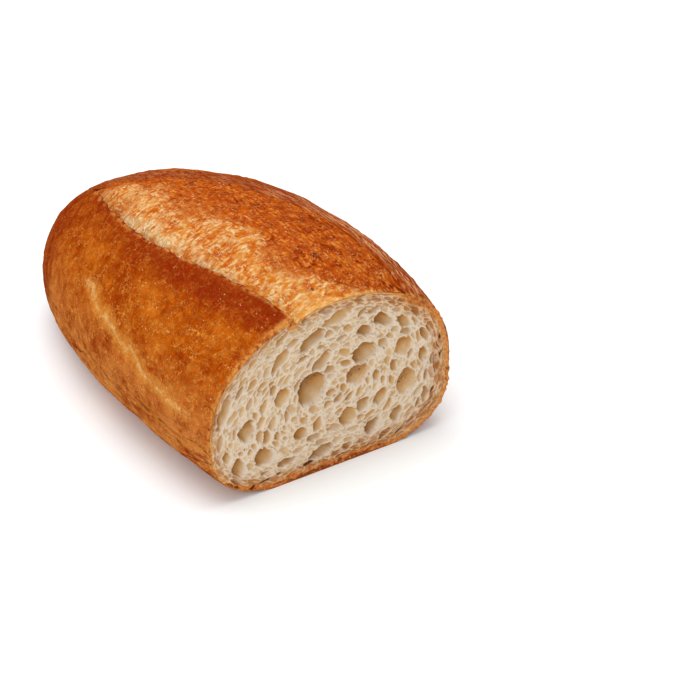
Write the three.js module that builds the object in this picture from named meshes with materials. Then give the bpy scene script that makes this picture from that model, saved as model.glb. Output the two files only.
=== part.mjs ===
// The larger piece of a short crusty loaf, cut straight across.
// Units are millimetres, +Z is up. The cut faces +X, the rounded heel points to -X,
// and the raised ear of the slash runs along the top on the -Y side.
import * as THREE from 'three';

// ---- The whole loaf before it was cut, measured from its widest section ----
const LOAF_WIDTH = 117.6;
const LOAF_HEIGHT = 82.6;
const WAIST_HEIGHT = 34.0;      // height of the widest line of the side
const FRONT_REACH = 105.6;      // from the widest section to the tip that was cut off
const HEEL_REACH = 143.4;       // from the widest section to the tip that is left
const CUT_AT = 45.0;            // from the widest section towards the front tip
const HEEL_LIFT = 16.0;         // height of the heel's tip above the base
const HEEL_CURLS_BELOW = 0.8;   // the underside leaves the base where the width falls below this part

// How fast the width and the height taper: (1 - (x / reach)^power)^(1 / bluntness)
const FRONT_TAPER = { power: 1.89, width: 3.36, height: 1.4 };
const HEEL_TAPER = { power: 1.91, width: 2.34, height: 3.22 };

// ---- The cross-section: a superellipse with a fuller lower half and a flat base ----
const UPPER_EXPONENT = { left: 2.17, right: 2.29 };
const LOWER_EXPONENT = { left: 2.91, right: 3.04 };
const CROWN_SHIFT = 1.8;        // the crown leans this far towards +Y
const BASE_FLATTENING = 1.8;    // how much the oven floor takes off the round underside

// A shallow press in the shoulder on the +Y side, just behind the cut
const PRESS = { depth: 1.1, at: -38, reach: 42, angle: 0.95, spread: 0.6 };

// ---- The slash along the top, opened by the oven ----
const EAR = { widestAt: -72, y: -32.8, bow: 0.00295, rise: 2.2, reach: 9 };
const LIP = { y: 33.2, bow: 0.00225, rise: 0.5, reach: 7 };
const BLOOM = { drop: 1.6, dropReach: 7, bulge: 0.8, narrowest: 3.5 };
const SLASH_END = { from: -125, to: -158 };   // where the relief of the slash dies out

// ---- How finely the skin is faceted ----
const COLUMNS = { right: 36, bloom: 18, left: 38 };
const FACE_ROWS = 6;
const SKIN_ROWS = 44;
const HEEL_CROWDING = 1.35;     // above 1, the rows crowd towards the heel's tip

const QUARTER = Math.PI / 2;
const lerp = THREE.MathUtils.lerp;
const smoothstep = THREE.MathUtils.smoothstep;
const signedPower = (value, power) => Math.sign(value) * Math.abs(value) ** power;

// Width and height of the section at x, as parts of the largest, with x = 0 at the cut.
function taperAt(x) {
  const along = x + CUT_AT;
  const towardsFront = along > 0;
  const taper = towardsFront ? FRONT_TAPER : HEEL_TAPER;
  const reach = towardsFront ? FRONT_REACH : HEEL_REACH;
  const left = Math.max(0, 1 - Math.abs(along / reach) ** taper.power);
  return { width: left ** (1 / taper.width), height: left ** (1 / taper.height) };
}

// A point of the plain skin, before the slash, at the angle turned from +Y over the crown.
function skinPoint(x, angle) {
  const taper = taperAt(x);
  const across = Math.cos(angle);
  const upwards = Math.sin(angle);
  const exponents = upwards >= 0 ? UPPER_EXPONENT : LOWER_EXPONENT;
  const exponent = across > 0 ? exponents.right : exponents.left;
  const above = LOAF_HEIGHT - WAIST_HEIGHT;
  const below = WAIST_HEIGHT + BASE_FLATTENING;
  const lift = signedPower(upwards, 2 / exponent);
  const height = Math.max(0, WAIST_HEIGHT + (upwards >= 0 ? above : below) * lift);
  const lean = CROWN_SHIFT * THREE.MathUtils.clamp((height - WAIST_HEIGHT) / above, 0, 1);
  const floor = HEEL_LIFT * Math.max(0, 1 - taper.width / HEEL_CURLS_BELOW) ** 2;
  const crown = Math.hypot(LOAF_HEIGHT * taper.height, floor);
  return {
    y: taper.width * ((LOAF_WIDTH / 2) * signedPower(across, 2 / exponent) + lean),
    z: floor + (crown - floor) * (height / LOAF_HEIGHT),
  };
}

// The angle at which the upper skin passes a given y.
function crownAngle(x, y) {
  const halfWidth = (LOAF_WIDTH / 2) * taperAt(x).width;
  const part = THREE.MathUtils.clamp((y - CROWN_SHIFT) / halfWidth, -0.95, 0.95);
  const exponent = part > 0 ? UPPER_EXPONENT.right : UPPER_EXPONENT.left;
  return Math.acos(signedPower(part, exponent / 2));
}

// The two edges of the slash as y at x. They bow apart towards the cut and all but meet at the heel.
function slashEdges(x) {
  const ear = EAR.y + EAR.bow * (x - EAR.widestAt) ** 2;
  const lip = LIP.y - LIP.bow * x ** 2;
  const middle = (ear + lip) / 2;
  const half = Math.hypot(Math.max(0, (lip - ear) / 2), BLOOM.narrowest / 2);
  const beyond = smoothstep(-x, -SLASH_END.from, -SLASH_END.to);
  const settled = lerp(middle, EAR.y / 2, beyond);
  return { ear: settled - half, lip: settled + half };
}

// How far the slash raises (or sinks) the skin at y.
function slashRelief(x, y, edges) {
  const fade = 1 - smoothstep(-x, -SLASH_END.from, -SLASH_END.to);
  if (y <= edges.ear) return fade * EAR.rise * Math.exp((y - edges.ear) / EAR.reach);
  if (y >= edges.lip) return fade * LIP.rise * Math.exp((edges.lip - y) / LIP.reach);
  const across = (y - edges.ear) / (edges.lip - edges.ear);
  const drop = BLOOM.drop * Math.exp((edges.ear - y) / BLOOM.dropReach);
  return fade * (BLOOM.bulge * Math.sin(Math.PI * across) - drop);
}

// The angle of a column: right side, bloom and left side each have their own share of them.
function columnAngle(x, column, edges) {
  const lipAngle = crownAngle(x, edges.lip);
  const earAngle = crownAngle(x, edges.ear);
  const { right, bloom, left } = COLUMNS;
  if (column <= right) return lerp(-QUARTER, lipAngle, column / right);
  if (column <= right + bloom) return lerp(lipAngle, earAngle, (column - right) / bloom);
  return lerp(earAngle, 3 * QUARTER, (column - right - bloom) / left);
}

// How deep the shoulder is pressed in at x and angle.
function pressDepth(x, angle) {
  const along = Math.max(0, 1 - ((x - PRESS.at) / PRESS.reach) ** 2);
  const around = Math.exp(-(((angle - PRESS.angle) / PRESS.spread) ** 2));
  return PRESS.depth * along * around;
}

// A point of the finished skin in row and column, moved out from the section's heart by the relief.
function loafPoint(x, column) {
  const edges = slashEdges(x);
  const angle = columnAngle(x, column, edges);
  const plain = skinPoint(x, angle);
  if (Math.sin(angle) <= 0) return plain;
  const heart = { y: 0, z: skinPoint(x, 0).z };
  const reach = Math.hypot(plain.y - heart.y, plain.z - heart.z);
  if (reach === 0) return plain;
  const upright = Math.max(0, plain.z - heart.z) / reach;
  const slash = slashRelief(x, plain.y, edges) * smoothstep(upright, 0.1, 0.5);
  const grown = 1 + (slash - pressDepth(x, angle)) / reach;
  return { y: heart.y + (plain.y - heart.y) * grown, z: heart.z + (plain.z - heart.z) * grown };
}

// A sphere whose first rows are laid flat as the cut face and whose other rows wrap the skin.
function loafGeometry() {
  const columns = COLUMNS.right + COLUMNS.bloom + COLUMNS.left;
  const rows = FACE_ROWS + SKIN_ROWS;
  const geometry = new THREE.SphereGeometry(1, columns, rows);
  const length = CUT_AT + HEEL_REACH;
  const position = geometry.getAttribute('position');
  for (let index = 0; index < position.count; index += 1) {
    const row = Math.floor(index / (columns + 1));
    const column = (index % (columns + 1)) % columns;
    if (row < FACE_ROWS) {
      const rim = loafPoint(0, column);
      const out = row / FACE_ROWS;
      position.setXYZ(index, 0, rim.y * out, lerp(WAIST_HEIGHT, rim.z, out));
    } else {
      const along = (row - FACE_ROWS) / SKIN_ROWS;
      const x = -length * (1 - (1 - along) ** HEEL_CROWDING);
      const point = loafPoint(x, column);
      position.setXYZ(index, x, point.y, point.z);
    }
  }
  geometry.computeVertexNormals();
  return geometry;
}

// Puts the origin at the middle of the box, on the base.
function standOnOrigin(geometry) {
  geometry.computeBoundingBox();
  const box = geometry.boundingBox;
  geometry.translate(-(box.min.x + box.max.x) / 2, -(box.min.y + box.max.y) / 2, -box.min.z);
  return geometry;
}

function buildLoaf() {
  const crust = new THREE.MeshStandardMaterial({ color: 0xb8702f, roughness: 0.55, metalness: 0 });
  const loaf = new THREE.Mesh(standOnOrigin(loafGeometry()), crust);
  loaf.name = 'loaf';
  return loaf;
}

const bread = new THREE.Group();
bread.add(buildLoaf());

export default bread;
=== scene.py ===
import itertools
import logging
import math
from dataclasses import dataclass, field
from enum import Enum
from typing import Any, Sequence

import bmesh
import bpy
import numpy as np
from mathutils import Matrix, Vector


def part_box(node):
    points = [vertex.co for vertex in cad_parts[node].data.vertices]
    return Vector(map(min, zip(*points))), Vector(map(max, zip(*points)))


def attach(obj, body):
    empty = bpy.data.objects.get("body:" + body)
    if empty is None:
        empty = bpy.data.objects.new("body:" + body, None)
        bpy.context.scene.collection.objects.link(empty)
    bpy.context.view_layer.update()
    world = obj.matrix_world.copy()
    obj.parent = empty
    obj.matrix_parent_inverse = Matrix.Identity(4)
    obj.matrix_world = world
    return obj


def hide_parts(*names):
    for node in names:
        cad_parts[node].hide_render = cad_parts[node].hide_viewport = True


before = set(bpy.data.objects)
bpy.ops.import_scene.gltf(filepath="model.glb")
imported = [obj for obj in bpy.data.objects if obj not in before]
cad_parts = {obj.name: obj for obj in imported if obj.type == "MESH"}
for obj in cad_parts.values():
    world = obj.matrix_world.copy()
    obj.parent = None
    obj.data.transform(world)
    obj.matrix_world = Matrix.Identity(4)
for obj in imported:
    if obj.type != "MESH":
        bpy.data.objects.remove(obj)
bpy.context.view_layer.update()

LOG = logging.getLogger("loaf")
MM = 0.001
NODE = "loaf"
BODY = "root"
QUARTER = math.pi / 2
BATCH = 4000  # how many points are measured against all bubbles at a time
Colour = tuple[float, float, float, float]
Array = np.ndarray


def tone(red: float, green: float, blue: float) -> Colour:
    """Turns a display colour, 0 to 255 a channel, into the linear colour that shaders take."""
    def linear(value: float) -> float:
        """One channel of it."""
        part = value / 255
        return part / 12.92 if part <= 0.04045 else ((part + 0.055) / 1.055) ** 2.4

    return (linear(red), linear(green), linear(blue), 1.0)


def ease(value: Array, low: float, high: float) -> Array:
    """Rises smoothly from 0 at low to 1 at high."""
    part = np.clip((value - low) / (high - low), 0, 1)
    return part * part * (3 - 2 * part)


def signed_power(value: Array, power: Array) -> Array:
    """Raises the size of value to power and keeps its sign."""
    return np.sign(value) * np.abs(value) ** power


class Grain:
    """Smooth seeded noise over points in space, from about -1 to 1."""

    CELLS = 1024

    def __init__(self, seed: int) -> None:
        """Draws the table of slopes.

        Args:
            seed: Which pattern this is.
        """
        draw = np.random.default_rng(seed)
        self.order = draw.permutation(self.CELLS)
        slopes = draw.normal(size=(self.CELLS, 3))
        self.slopes = slopes / np.linalg.norm(slopes, axis=1, keepdims=True)

    def at(self, points: Array, size: float | Sequence[float]) -> Array:
        """The noise at some points.

        Args:
            points: N by 3, in metres.
            size: The width of its lumps, in metres, or one width for each axis.

        Returns:
            One value for each point.
        """
        scaled = points / np.asarray(size, float)
        cell = np.floor(scaled).astype(int)
        inside = scaled - cell
        share = inside ** 3 * (inside * (inside * 6 - 15) + 10)
        total = np.zeros(len(points))
        for corner in itertools.product((0, 1), repeat=3):
            spot = cell + corner
            key = self.order[spot[:, 0] % self.CELLS] + spot[:, 1]
            key = self.order[key % self.CELLS] + spot[:, 2]
            slope = (self.slopes[self.order[key % self.CELLS]] * (inside - corner)).sum(1)
            total += slope * np.prod(np.where(corner, share, 1 - share), axis=1)
        return total * 1.6

    def layered(self, points: Array, size: float | Sequence[float], layers: int = 3) -> Array:
        """Sums the noise at ever finer sizes, each half as wide and half as strong."""
        wide = np.asarray(size, float)
        return sum(self.at(points + 7.3 * n * wide, wide / 2 ** n) / 2 ** n for n in range(layers))


# ---------------------------------------------------------------- form of the loaf


@dataclass
class Taper:
    """How the loaf narrows from its widest section to one of its tips."""

    reach: float
    power: float
    width: float
    height: float


@dataclass
class LoafForm:
    """The plain form of the cut loaf, with x = 0 at the cut and the heel towards -x.

    It repeats the CAD node's form, and place() moves it to where that node stands.
    """

    low: Vector
    high: Vector
    width: float = 0.1176
    height: float = 0.0826
    waist: float = 0.034
    cut_at: float = 0.045
    flattening: float = 0.0018
    lean: float = 0.0018
    heel_lift: float = 0.016
    heel_curls_below: float = 0.8
    upper: tuple[float, float] = (2.17, 2.29)
    lower: tuple[float, float] = (2.91, 3.04)
    front: Taper = field(default_factory=lambda: Taper(0.1056, 1.89, 3.36, 1.4))
    heel: Taper = field(default_factory=lambda: Taper(0.1434, 1.91, 2.34, 3.22))
    ear_y: float = -0.0328
    ear_widest_at: float = -0.072
    ear_bow: float = 2.95
    lip_y: float = 0.0332
    lip_bow: float = 2.25
    narrowest: float = 0.0035
    slash_fades: tuple[float, float] = (0.125, 0.158)
    press: float = 0.0011
    press_at: float = -0.038
    press_reach: float = 0.042
    press_angle: float = 0.95
    press_spread: float = 0.6

    @property
    def length(self) -> float:
        """From the cut to the tip of the heel."""
        return self.cut_at + self.heel.reach

    @property
    def heart(self) -> Array:
        """The point (y, z) inside every section that the cut face spreads from."""
        return np.array([0.0, self.waist])

    def place(self, points: Array) -> Array:
        """Moves points from the form's own axes to the CAD frame."""
        middle = (self.low.y + self.high.y) / 2
        return points + np.array([self.high.x, middle, self.low.z])

    def taper(self, x: Array) -> tuple[Array, Array]:
        """Width and height of the section at x, as parts of the largest."""
        along = np.asarray(x, float) + self.cut_at
        ahead = along > 0

        def pick(name: str) -> Array:
            """One number of the taper that each place lies in."""
            return np.where(ahead, getattr(self.front, name), getattr(self.heel, name))

        left = np.clip(1 - np.abs(along / pick("reach")) ** pick("power"), 0, 1)
        return left ** (1 / pick("width")), left ** (1 / pick("height"))

    def skin(self, x: Array, angle: Array) -> tuple[Array, Array]:
        """The plain skin at x, at an angle turned from +y over the crown.

        Args:
            x: Places along the loaf, in metres.
            angle: Angles in radians, of the same shape.

        Returns:
            y and z of each point.
        """
        width, height = self.taper(x)
        across, upwards = np.cos(angle), np.sin(angle)
        right = across > 0
        exponent = np.where(upwards >= 0, np.where(right, self.upper[1], self.upper[0]),
                            np.where(right, self.lower[1], self.lower[0]))
        above = self.height - self.waist
        reach = np.where(upwards >= 0, above, self.waist + self.flattening)
        rise = np.maximum(0, self.waist + reach * signed_power(upwards, 2 / exponent))
        lean = self.lean * np.clip((rise - self.waist) / above, 0, 1)
        floor = self.heel_lift * np.maximum(0, 1 - width / self.heel_curls_below) ** 2
        crown = np.hypot(self.height * height, floor)
        y = width * (self.width / 2 * signed_power(across, 2 / exponent) + lean)
        z = floor + (crown - floor) * rise / self.height
        return self.pressed(x, angle, y, z)

    def pressed(self, x: Array, angle: Array, y: Array, z: Array) -> tuple[Array, Array]:
        """Presses the +y shoulder in a little behind the cut."""
        along = np.maximum(0, 1 - ((x - self.press_at) / self.press_reach) ** 2)
        around = np.exp(-(((angle - self.press_angle) / self.press_spread) ** 2))
        heart = self.waist * self.taper(x)[1]
        reach = np.hypot(y, z - heart) + 1e-9
        shrink = 1 - self.press * along * around / reach
        return y * shrink, heart + (z - heart) * shrink

    def crown_angle(self, x: Array, y: Array) -> Array:
        """The angle at which the upper skin passes y."""
        part = np.clip((y - self.lean) / (self.width / 2 * self.taper(x)[0] + 1e-9), -0.95, 0.95)
        exponent = np.where(part > 0, self.upper[1], self.upper[0])
        return np.arccos(signed_power(part, exponent / 2))

    def fade(self, x: Array) -> Array:
        """1 where the slash is open, falling to 0 where it ends towards the heel."""
        return 1 - ease(-np.asarray(x, float), *self.slash_fades)

    def edges(self, x: Array) -> tuple[Array, Array]:
        """y of the slash's ear and of its far lip at x."""
        ear = self.ear_y + self.ear_bow * (x - self.ear_widest_at) ** 2
        lip = self.lip_y - self.lip_bow * x ** 2
        half = np.hypot(np.maximum(0, (lip - ear) / 2), self.narrowest / 2)
        settled = (ear + lip) / 2 * self.fade(x) + self.ear_y / 2 * (1 - self.fade(x))
        return settled - half, settled + half


@dataclass
class Section:
    """One cross-section of the plain skin, measured along its outline.

    Distances run from the middle of the base up the -y side, over the crown and down the +y side.
    """

    form: LoafForm
    x: float
    samples: int = 721

    def __post_init__(self) -> None:
        """Measures the outline."""
        self.angles = np.linspace(3 * QUARTER, -QUARTER, self.samples)
        y, z = self.form.skin(np.full(self.samples, self.x), self.angles)
        self.points = np.column_stack([y, z])
        steps = np.hypot(*np.diff(self.points, axis=0).T)
        self.runs = np.concatenate([[0], np.cumsum(steps)])
        ear, lip = self.form.edges(np.array([self.x]))
        self.ear, self.lip = (self.run_at(self.form.crown_angle(self.x, y)) for y in (ear, lip))

    @property
    def girth(self) -> float:
        """The whole way round."""
        return float(self.runs[-1])

    def run_at(self, angle: Array) -> float:
        """The distance along the outline at which it passes an angle."""
        return float(np.interp(-angle, -self.angles, self.runs)[0])

    def at(self, run: Array, lift: Array | float = 0.0) -> Array:
        """Points at distances along the outline, raised off it by lift.

        Args:
            run: Distances along the outline.
            lift: How far each point stands off the skin, outwards.

        Returns:
            N by 2: y and z.
        """
        run = np.asarray(run, float)
        place = np.column_stack([np.interp(run, self.runs, self.points[:, n]) for n in (0, 1)])
        if self.girth < 1e-6:
            return place
        span = min(0.0015, self.girth / 40)
        ahead = np.column_stack([np.interp(run + span, self.runs, self.points[:, n]) for n in (0, 1)])
        behind = np.column_stack([np.interp(run - span, self.runs, self.points[:, n]) for n in (0, 1)])
        way = ahead - behind
        way /= np.linalg.norm(way, axis=1, keepdims=True) + 1e-12
        outwards = np.column_stack([-way[:, 1], way[:, 0]])
        return place + outwards * np.broadcast_to(lift, run.shape)[:, None]


def grid_normals(points: Array) -> Array:
    """Outward unit normals of a rows by columns by 3 sheet that closes on itself sideways."""
    down = np.gradient(points, axis=0)
    around = np.roll(points, -1, axis=1) - np.roll(points, 1, axis=1)
    normal = np.cross(around, down)
    normal /= np.linalg.norm(normal, axis=2, keepdims=True) + 1e-12
    heart = points.mean(axis=(0, 1))
    return normal * np.sign(((points - heart) * normal).sum())


def bezier(controls: Sequence[tuple[float, float]], count: int) -> Array:
    """Evenly timed points on the smooth curve that some control points pull on."""
    times = np.linspace(0, 1, count)[:, None]
    last = len(controls) - 1
    weights = [math.comb(last, n) * times ** n * (1 - times) ** (last - n) for n in range(last + 1)]
    return sum(w * np.array(c) for w, c in zip(weights, controls))


def averaged(grid: Array, reach: int) -> Array:
    """The mean of a grid over the square that reaches some steps around each of its points."""
    span = 2 * reach + 1
    for axis in (0, 1):
        around = [(reach + 1, reach) if n == axis else (0, 0) for n in (0, 1)]
        total = np.cumsum(np.pad(grid, around, mode="edge"), axis=axis)
        high = np.take(total, range(span, total.shape[axis]), axis)
        low = np.take(total, range(total.shape[axis] - span), axis)
        grid = (high - low) / span
    return grid


def write_attribute(mesh: bpy.types.Mesh, name: str, values: Array) -> None:
    """Stores one number for each vertex, for the shader to read."""
    layer = mesh.attributes.new(name, "FLOAT", "POINT")
    layer.data.foreach_set("value", np.ascontiguousarray(values, dtype=np.float32))


def vertex_array(mesh: bpy.types.Mesh) -> Array:
    """The vertices of a mesh as N by 3."""
    flat = np.empty(len(mesh.vertices) * 3)
    mesh.vertices.foreach_get("co", flat)
    return flat.reshape(-1, 3)


def bearing(spread: Array) -> Array:
    """The angle of each vector (y, z) from +y."""
    return np.arctan2(spread[:, 1], spread[:, 0])


def heading(angle: Array) -> Array:
    """The unit vector (y, z) at each angle from +y."""
    return np.column_stack([np.cos(angle), np.sin(angle)])


def in_space(points: Array) -> Array:
    """Points (y, z) of the cut face as points of the form, with x = 0."""
    return np.column_stack([np.zeros(len(points)), points])


def strayed(points: Array, seeds: tuple[int, int], size: float, amount: float, space: Array) -> Array:
    """Moves points (y, z) about by noise.

    Args:
        points: N by 2.
        seeds: Which patterns move them along y and along z.
        size: The width of the noise's lumps, in metres.
        amount: How far they move, in millimetres.
        space: Where the noise is read, N by 3.

    Returns:
        N by 2.
    """
    return points + np.column_stack([Grain(seed).at(space, size) for seed in seeds]) * amount * MM


def close_below(bm: bmesh.types.BMesh) -> None:
    """Draws the border of a sheet down to z = -1 and closes it there with one face."""
    border = [edge for edge in bm.edges if edge.is_boundary]
    wall = bmesh.ops.extrude_edge_only(bm, edges=border)["geom"]
    for part in wall:
        if isinstance(part, bmesh.types.BMVert):
            part.co.z = -1
    rim = [part for part in wall if isinstance(part, bmesh.types.BMEdge) and part.is_boundary]
    bmesh.ops.contextual_create(bm, geom=rim)


def make_piece(name: str, mesh: bpy.types.Mesh, material: bpy.types.Material) -> bpy.types.Object:
    """Puts a mesh in the scene as a smooth piece of the loaf.

    Args:
        name: The piece's name.
        mesh: Its mesh, already in place.
        material: Its finish.

    Returns:
        The new object, riding on the loaf's body and standing for its CAD node.
    """
    mesh.polygons.foreach_set("use_smooth", np.ones(len(mesh.polygons), bool))
    mesh.materials.append(material)
    piece = bpy.data.objects.new(name, mesh)
    bpy.context.scene.collection.objects.link(piece)
    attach(piece, BODY)
    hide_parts(NODE)
    return piece


def finished_mesh(bm: bmesh.types.BMesh, name: str) -> bpy.types.Mesh:
    """Turns a bmesh into a mesh and lets the bmesh go."""
    mesh = bpy.data.meshes.new(name)
    bm.to_mesh(mesh)
    bm.free()
    return mesh


def move_vertices(mesh: bpy.types.Mesh, points: Array) -> None:
    """Moves every vertex of a mesh to the given points and turns its faces outwards."""
    mesh.vertices.foreach_set("co", np.ascontiguousarray(points, dtype=np.float32).ravel())
    bm = bmesh.new()
    bm.from_mesh(mesh)
    bmesh.ops.recalc_face_normals(bm, faces=bm.faces)
    bm.to_mesh(mesh)
    bm.free()
    mesh.update()


# ---------------------------------------------------------------- pieces


@dataclass(frozen=True)
class Crack:
    """A split in the crust between two points, with its half width, all in millimetres."""

    start: tuple[float, float, float]
    end: tuple[float, float, float]
    wide: float


SIDE_CRACKS = (
    Crack((-118, -51, 24), (-110, -52, 20.5), 0.5),
    Crack((-102, -54, 34.5), (-97, -54.7, 27), 0.45),
    Crack((-98, -54.7, 25.4), (-89, -55.9, 25.2), 0.5),
    Crack((-89, -55.9, 25.2), (-78, -57, 26.4), 0.7),
    Crack((-76, -57.2, 25.6), (-68, -57.6, 24.2), 0.9),
    Crack((-68, -57.6, 24.2), (-60, -57.6, 22.4), 0.5),
    Crack((-46.5, -58.6, 27.2), (-36.5, -58.3, 25.4), 1.2),
    Crack((-34.5, -58.2, 25.2), (-26.5, -57.9, 25.8), 0.8),
    Crack((-18.4, -57.4, 32.2), (-16.2, -57.2, 29), 0.55),
    Crack((-59, -56.6, 18.4), (-55.4, -56.4, 17.4), 0.6),
    Crack((-32.8, -56.9, 19.3), (-30.8, -56.4, 17.6), 0.5),
    Crack((-24, -57.2, 22), (-17.5, -56.7, 21.6), 0.6),
    Crack((-11, -55.8, 20.6), (-9, -55.8, 20), 0.6),
    Crack((-64.4, -58.1, 36.4), (-61, -58.4, 34.4), 0.35),
    Crack((-54.6, -57.6, 43.2), (-54, -57.6, 42.2), 0.45),
    Crack((-49, -58.7, 29.8), (-47.6, -58.7, 28.6), 0.5),
    Crack((-15.2, 37.5, 69.2), (-10, 39.4, 66.3), 0.6),
    Crack((-6.5, 37, 66.2), (-2, 39, 63.5), 0.5),
)
BLOOM_CRACKS = (
    Crack((-55, 30, 78), (-48, 28.6, 78.8), 0.7), Crack((-45, 27.6, 79), (-39, 27.5, 79), 0.8),
    Crack((-27, 29.5, 76.4), (-24, 31, 75), 0.6),
    Crack((-17.5, 32.6, 72.6), (-6.5, 35, 67.5), 1.0),
    Crack((-3, 31.5, 67), (0.5, 33.2, 64.6), 0.9),
    Crack((-14.9, -4.3, 76.8), (-16.3, -0.8, 77.5), 0.7),
    Crack((-16.3, -0.8, 77.5), (-17.8, 2.7, 78), 0.6),
    Crack((-28.2, 13.8, 80.2), (-25.2, 15.9, 79.3), 0.7),
    Crack((-8.9, -3.7, 74.5), (-7.4, -3.6, 73.9), 1.0),
    Crack((-4.9, 25.4, 69.9), (-4.1, 26.8, 69.5), 1.0),
    Crack((-3.3, 28, 68.4), (-2.7, 29.2, 68), 1.0),
    Crack((-40.4, 21.6, 80.6), (-39.4, 22, 80.4), 1.0),
    Crack((-95, -10.8, 78), (-97.6, -3.6, 78.5), 0.6),
    Crack((-97.6, -3.6, 78.5), (-98.9, 2.6, 78.4), 0.6),
)


def split(points: Array, cracks: Sequence[Crack], stray: Array) -> Array:
    """How far each point is from the nearest crack, in half widths of it.

    Args:
        points: N by 3.
        cracks: The cracks.
        stray: How far the cracks wander at each point, in metres.

    Returns:
        0 in the middle of a crack, 1 at its edge, and at most 6.
    """
    nearest = np.full(len(points), 6.0)
    for crack in cracks:
        start, end = np.array(crack.start) * MM, np.array(crack.end) * MM
        way = end - start
        share = np.clip((points - start) @ way / (way @ way), 0, 1)
        away = np.linalg.norm(points - start - share[:, None] * way, axis=1)
        taper = 0.35 + 0.65 * np.sqrt(np.maximum(0, 4 * share * (1 - share)))
        nearest = np.minimum(nearest, np.abs(away + stray) / (crack.wide * MM * taper))
    return nearest


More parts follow.
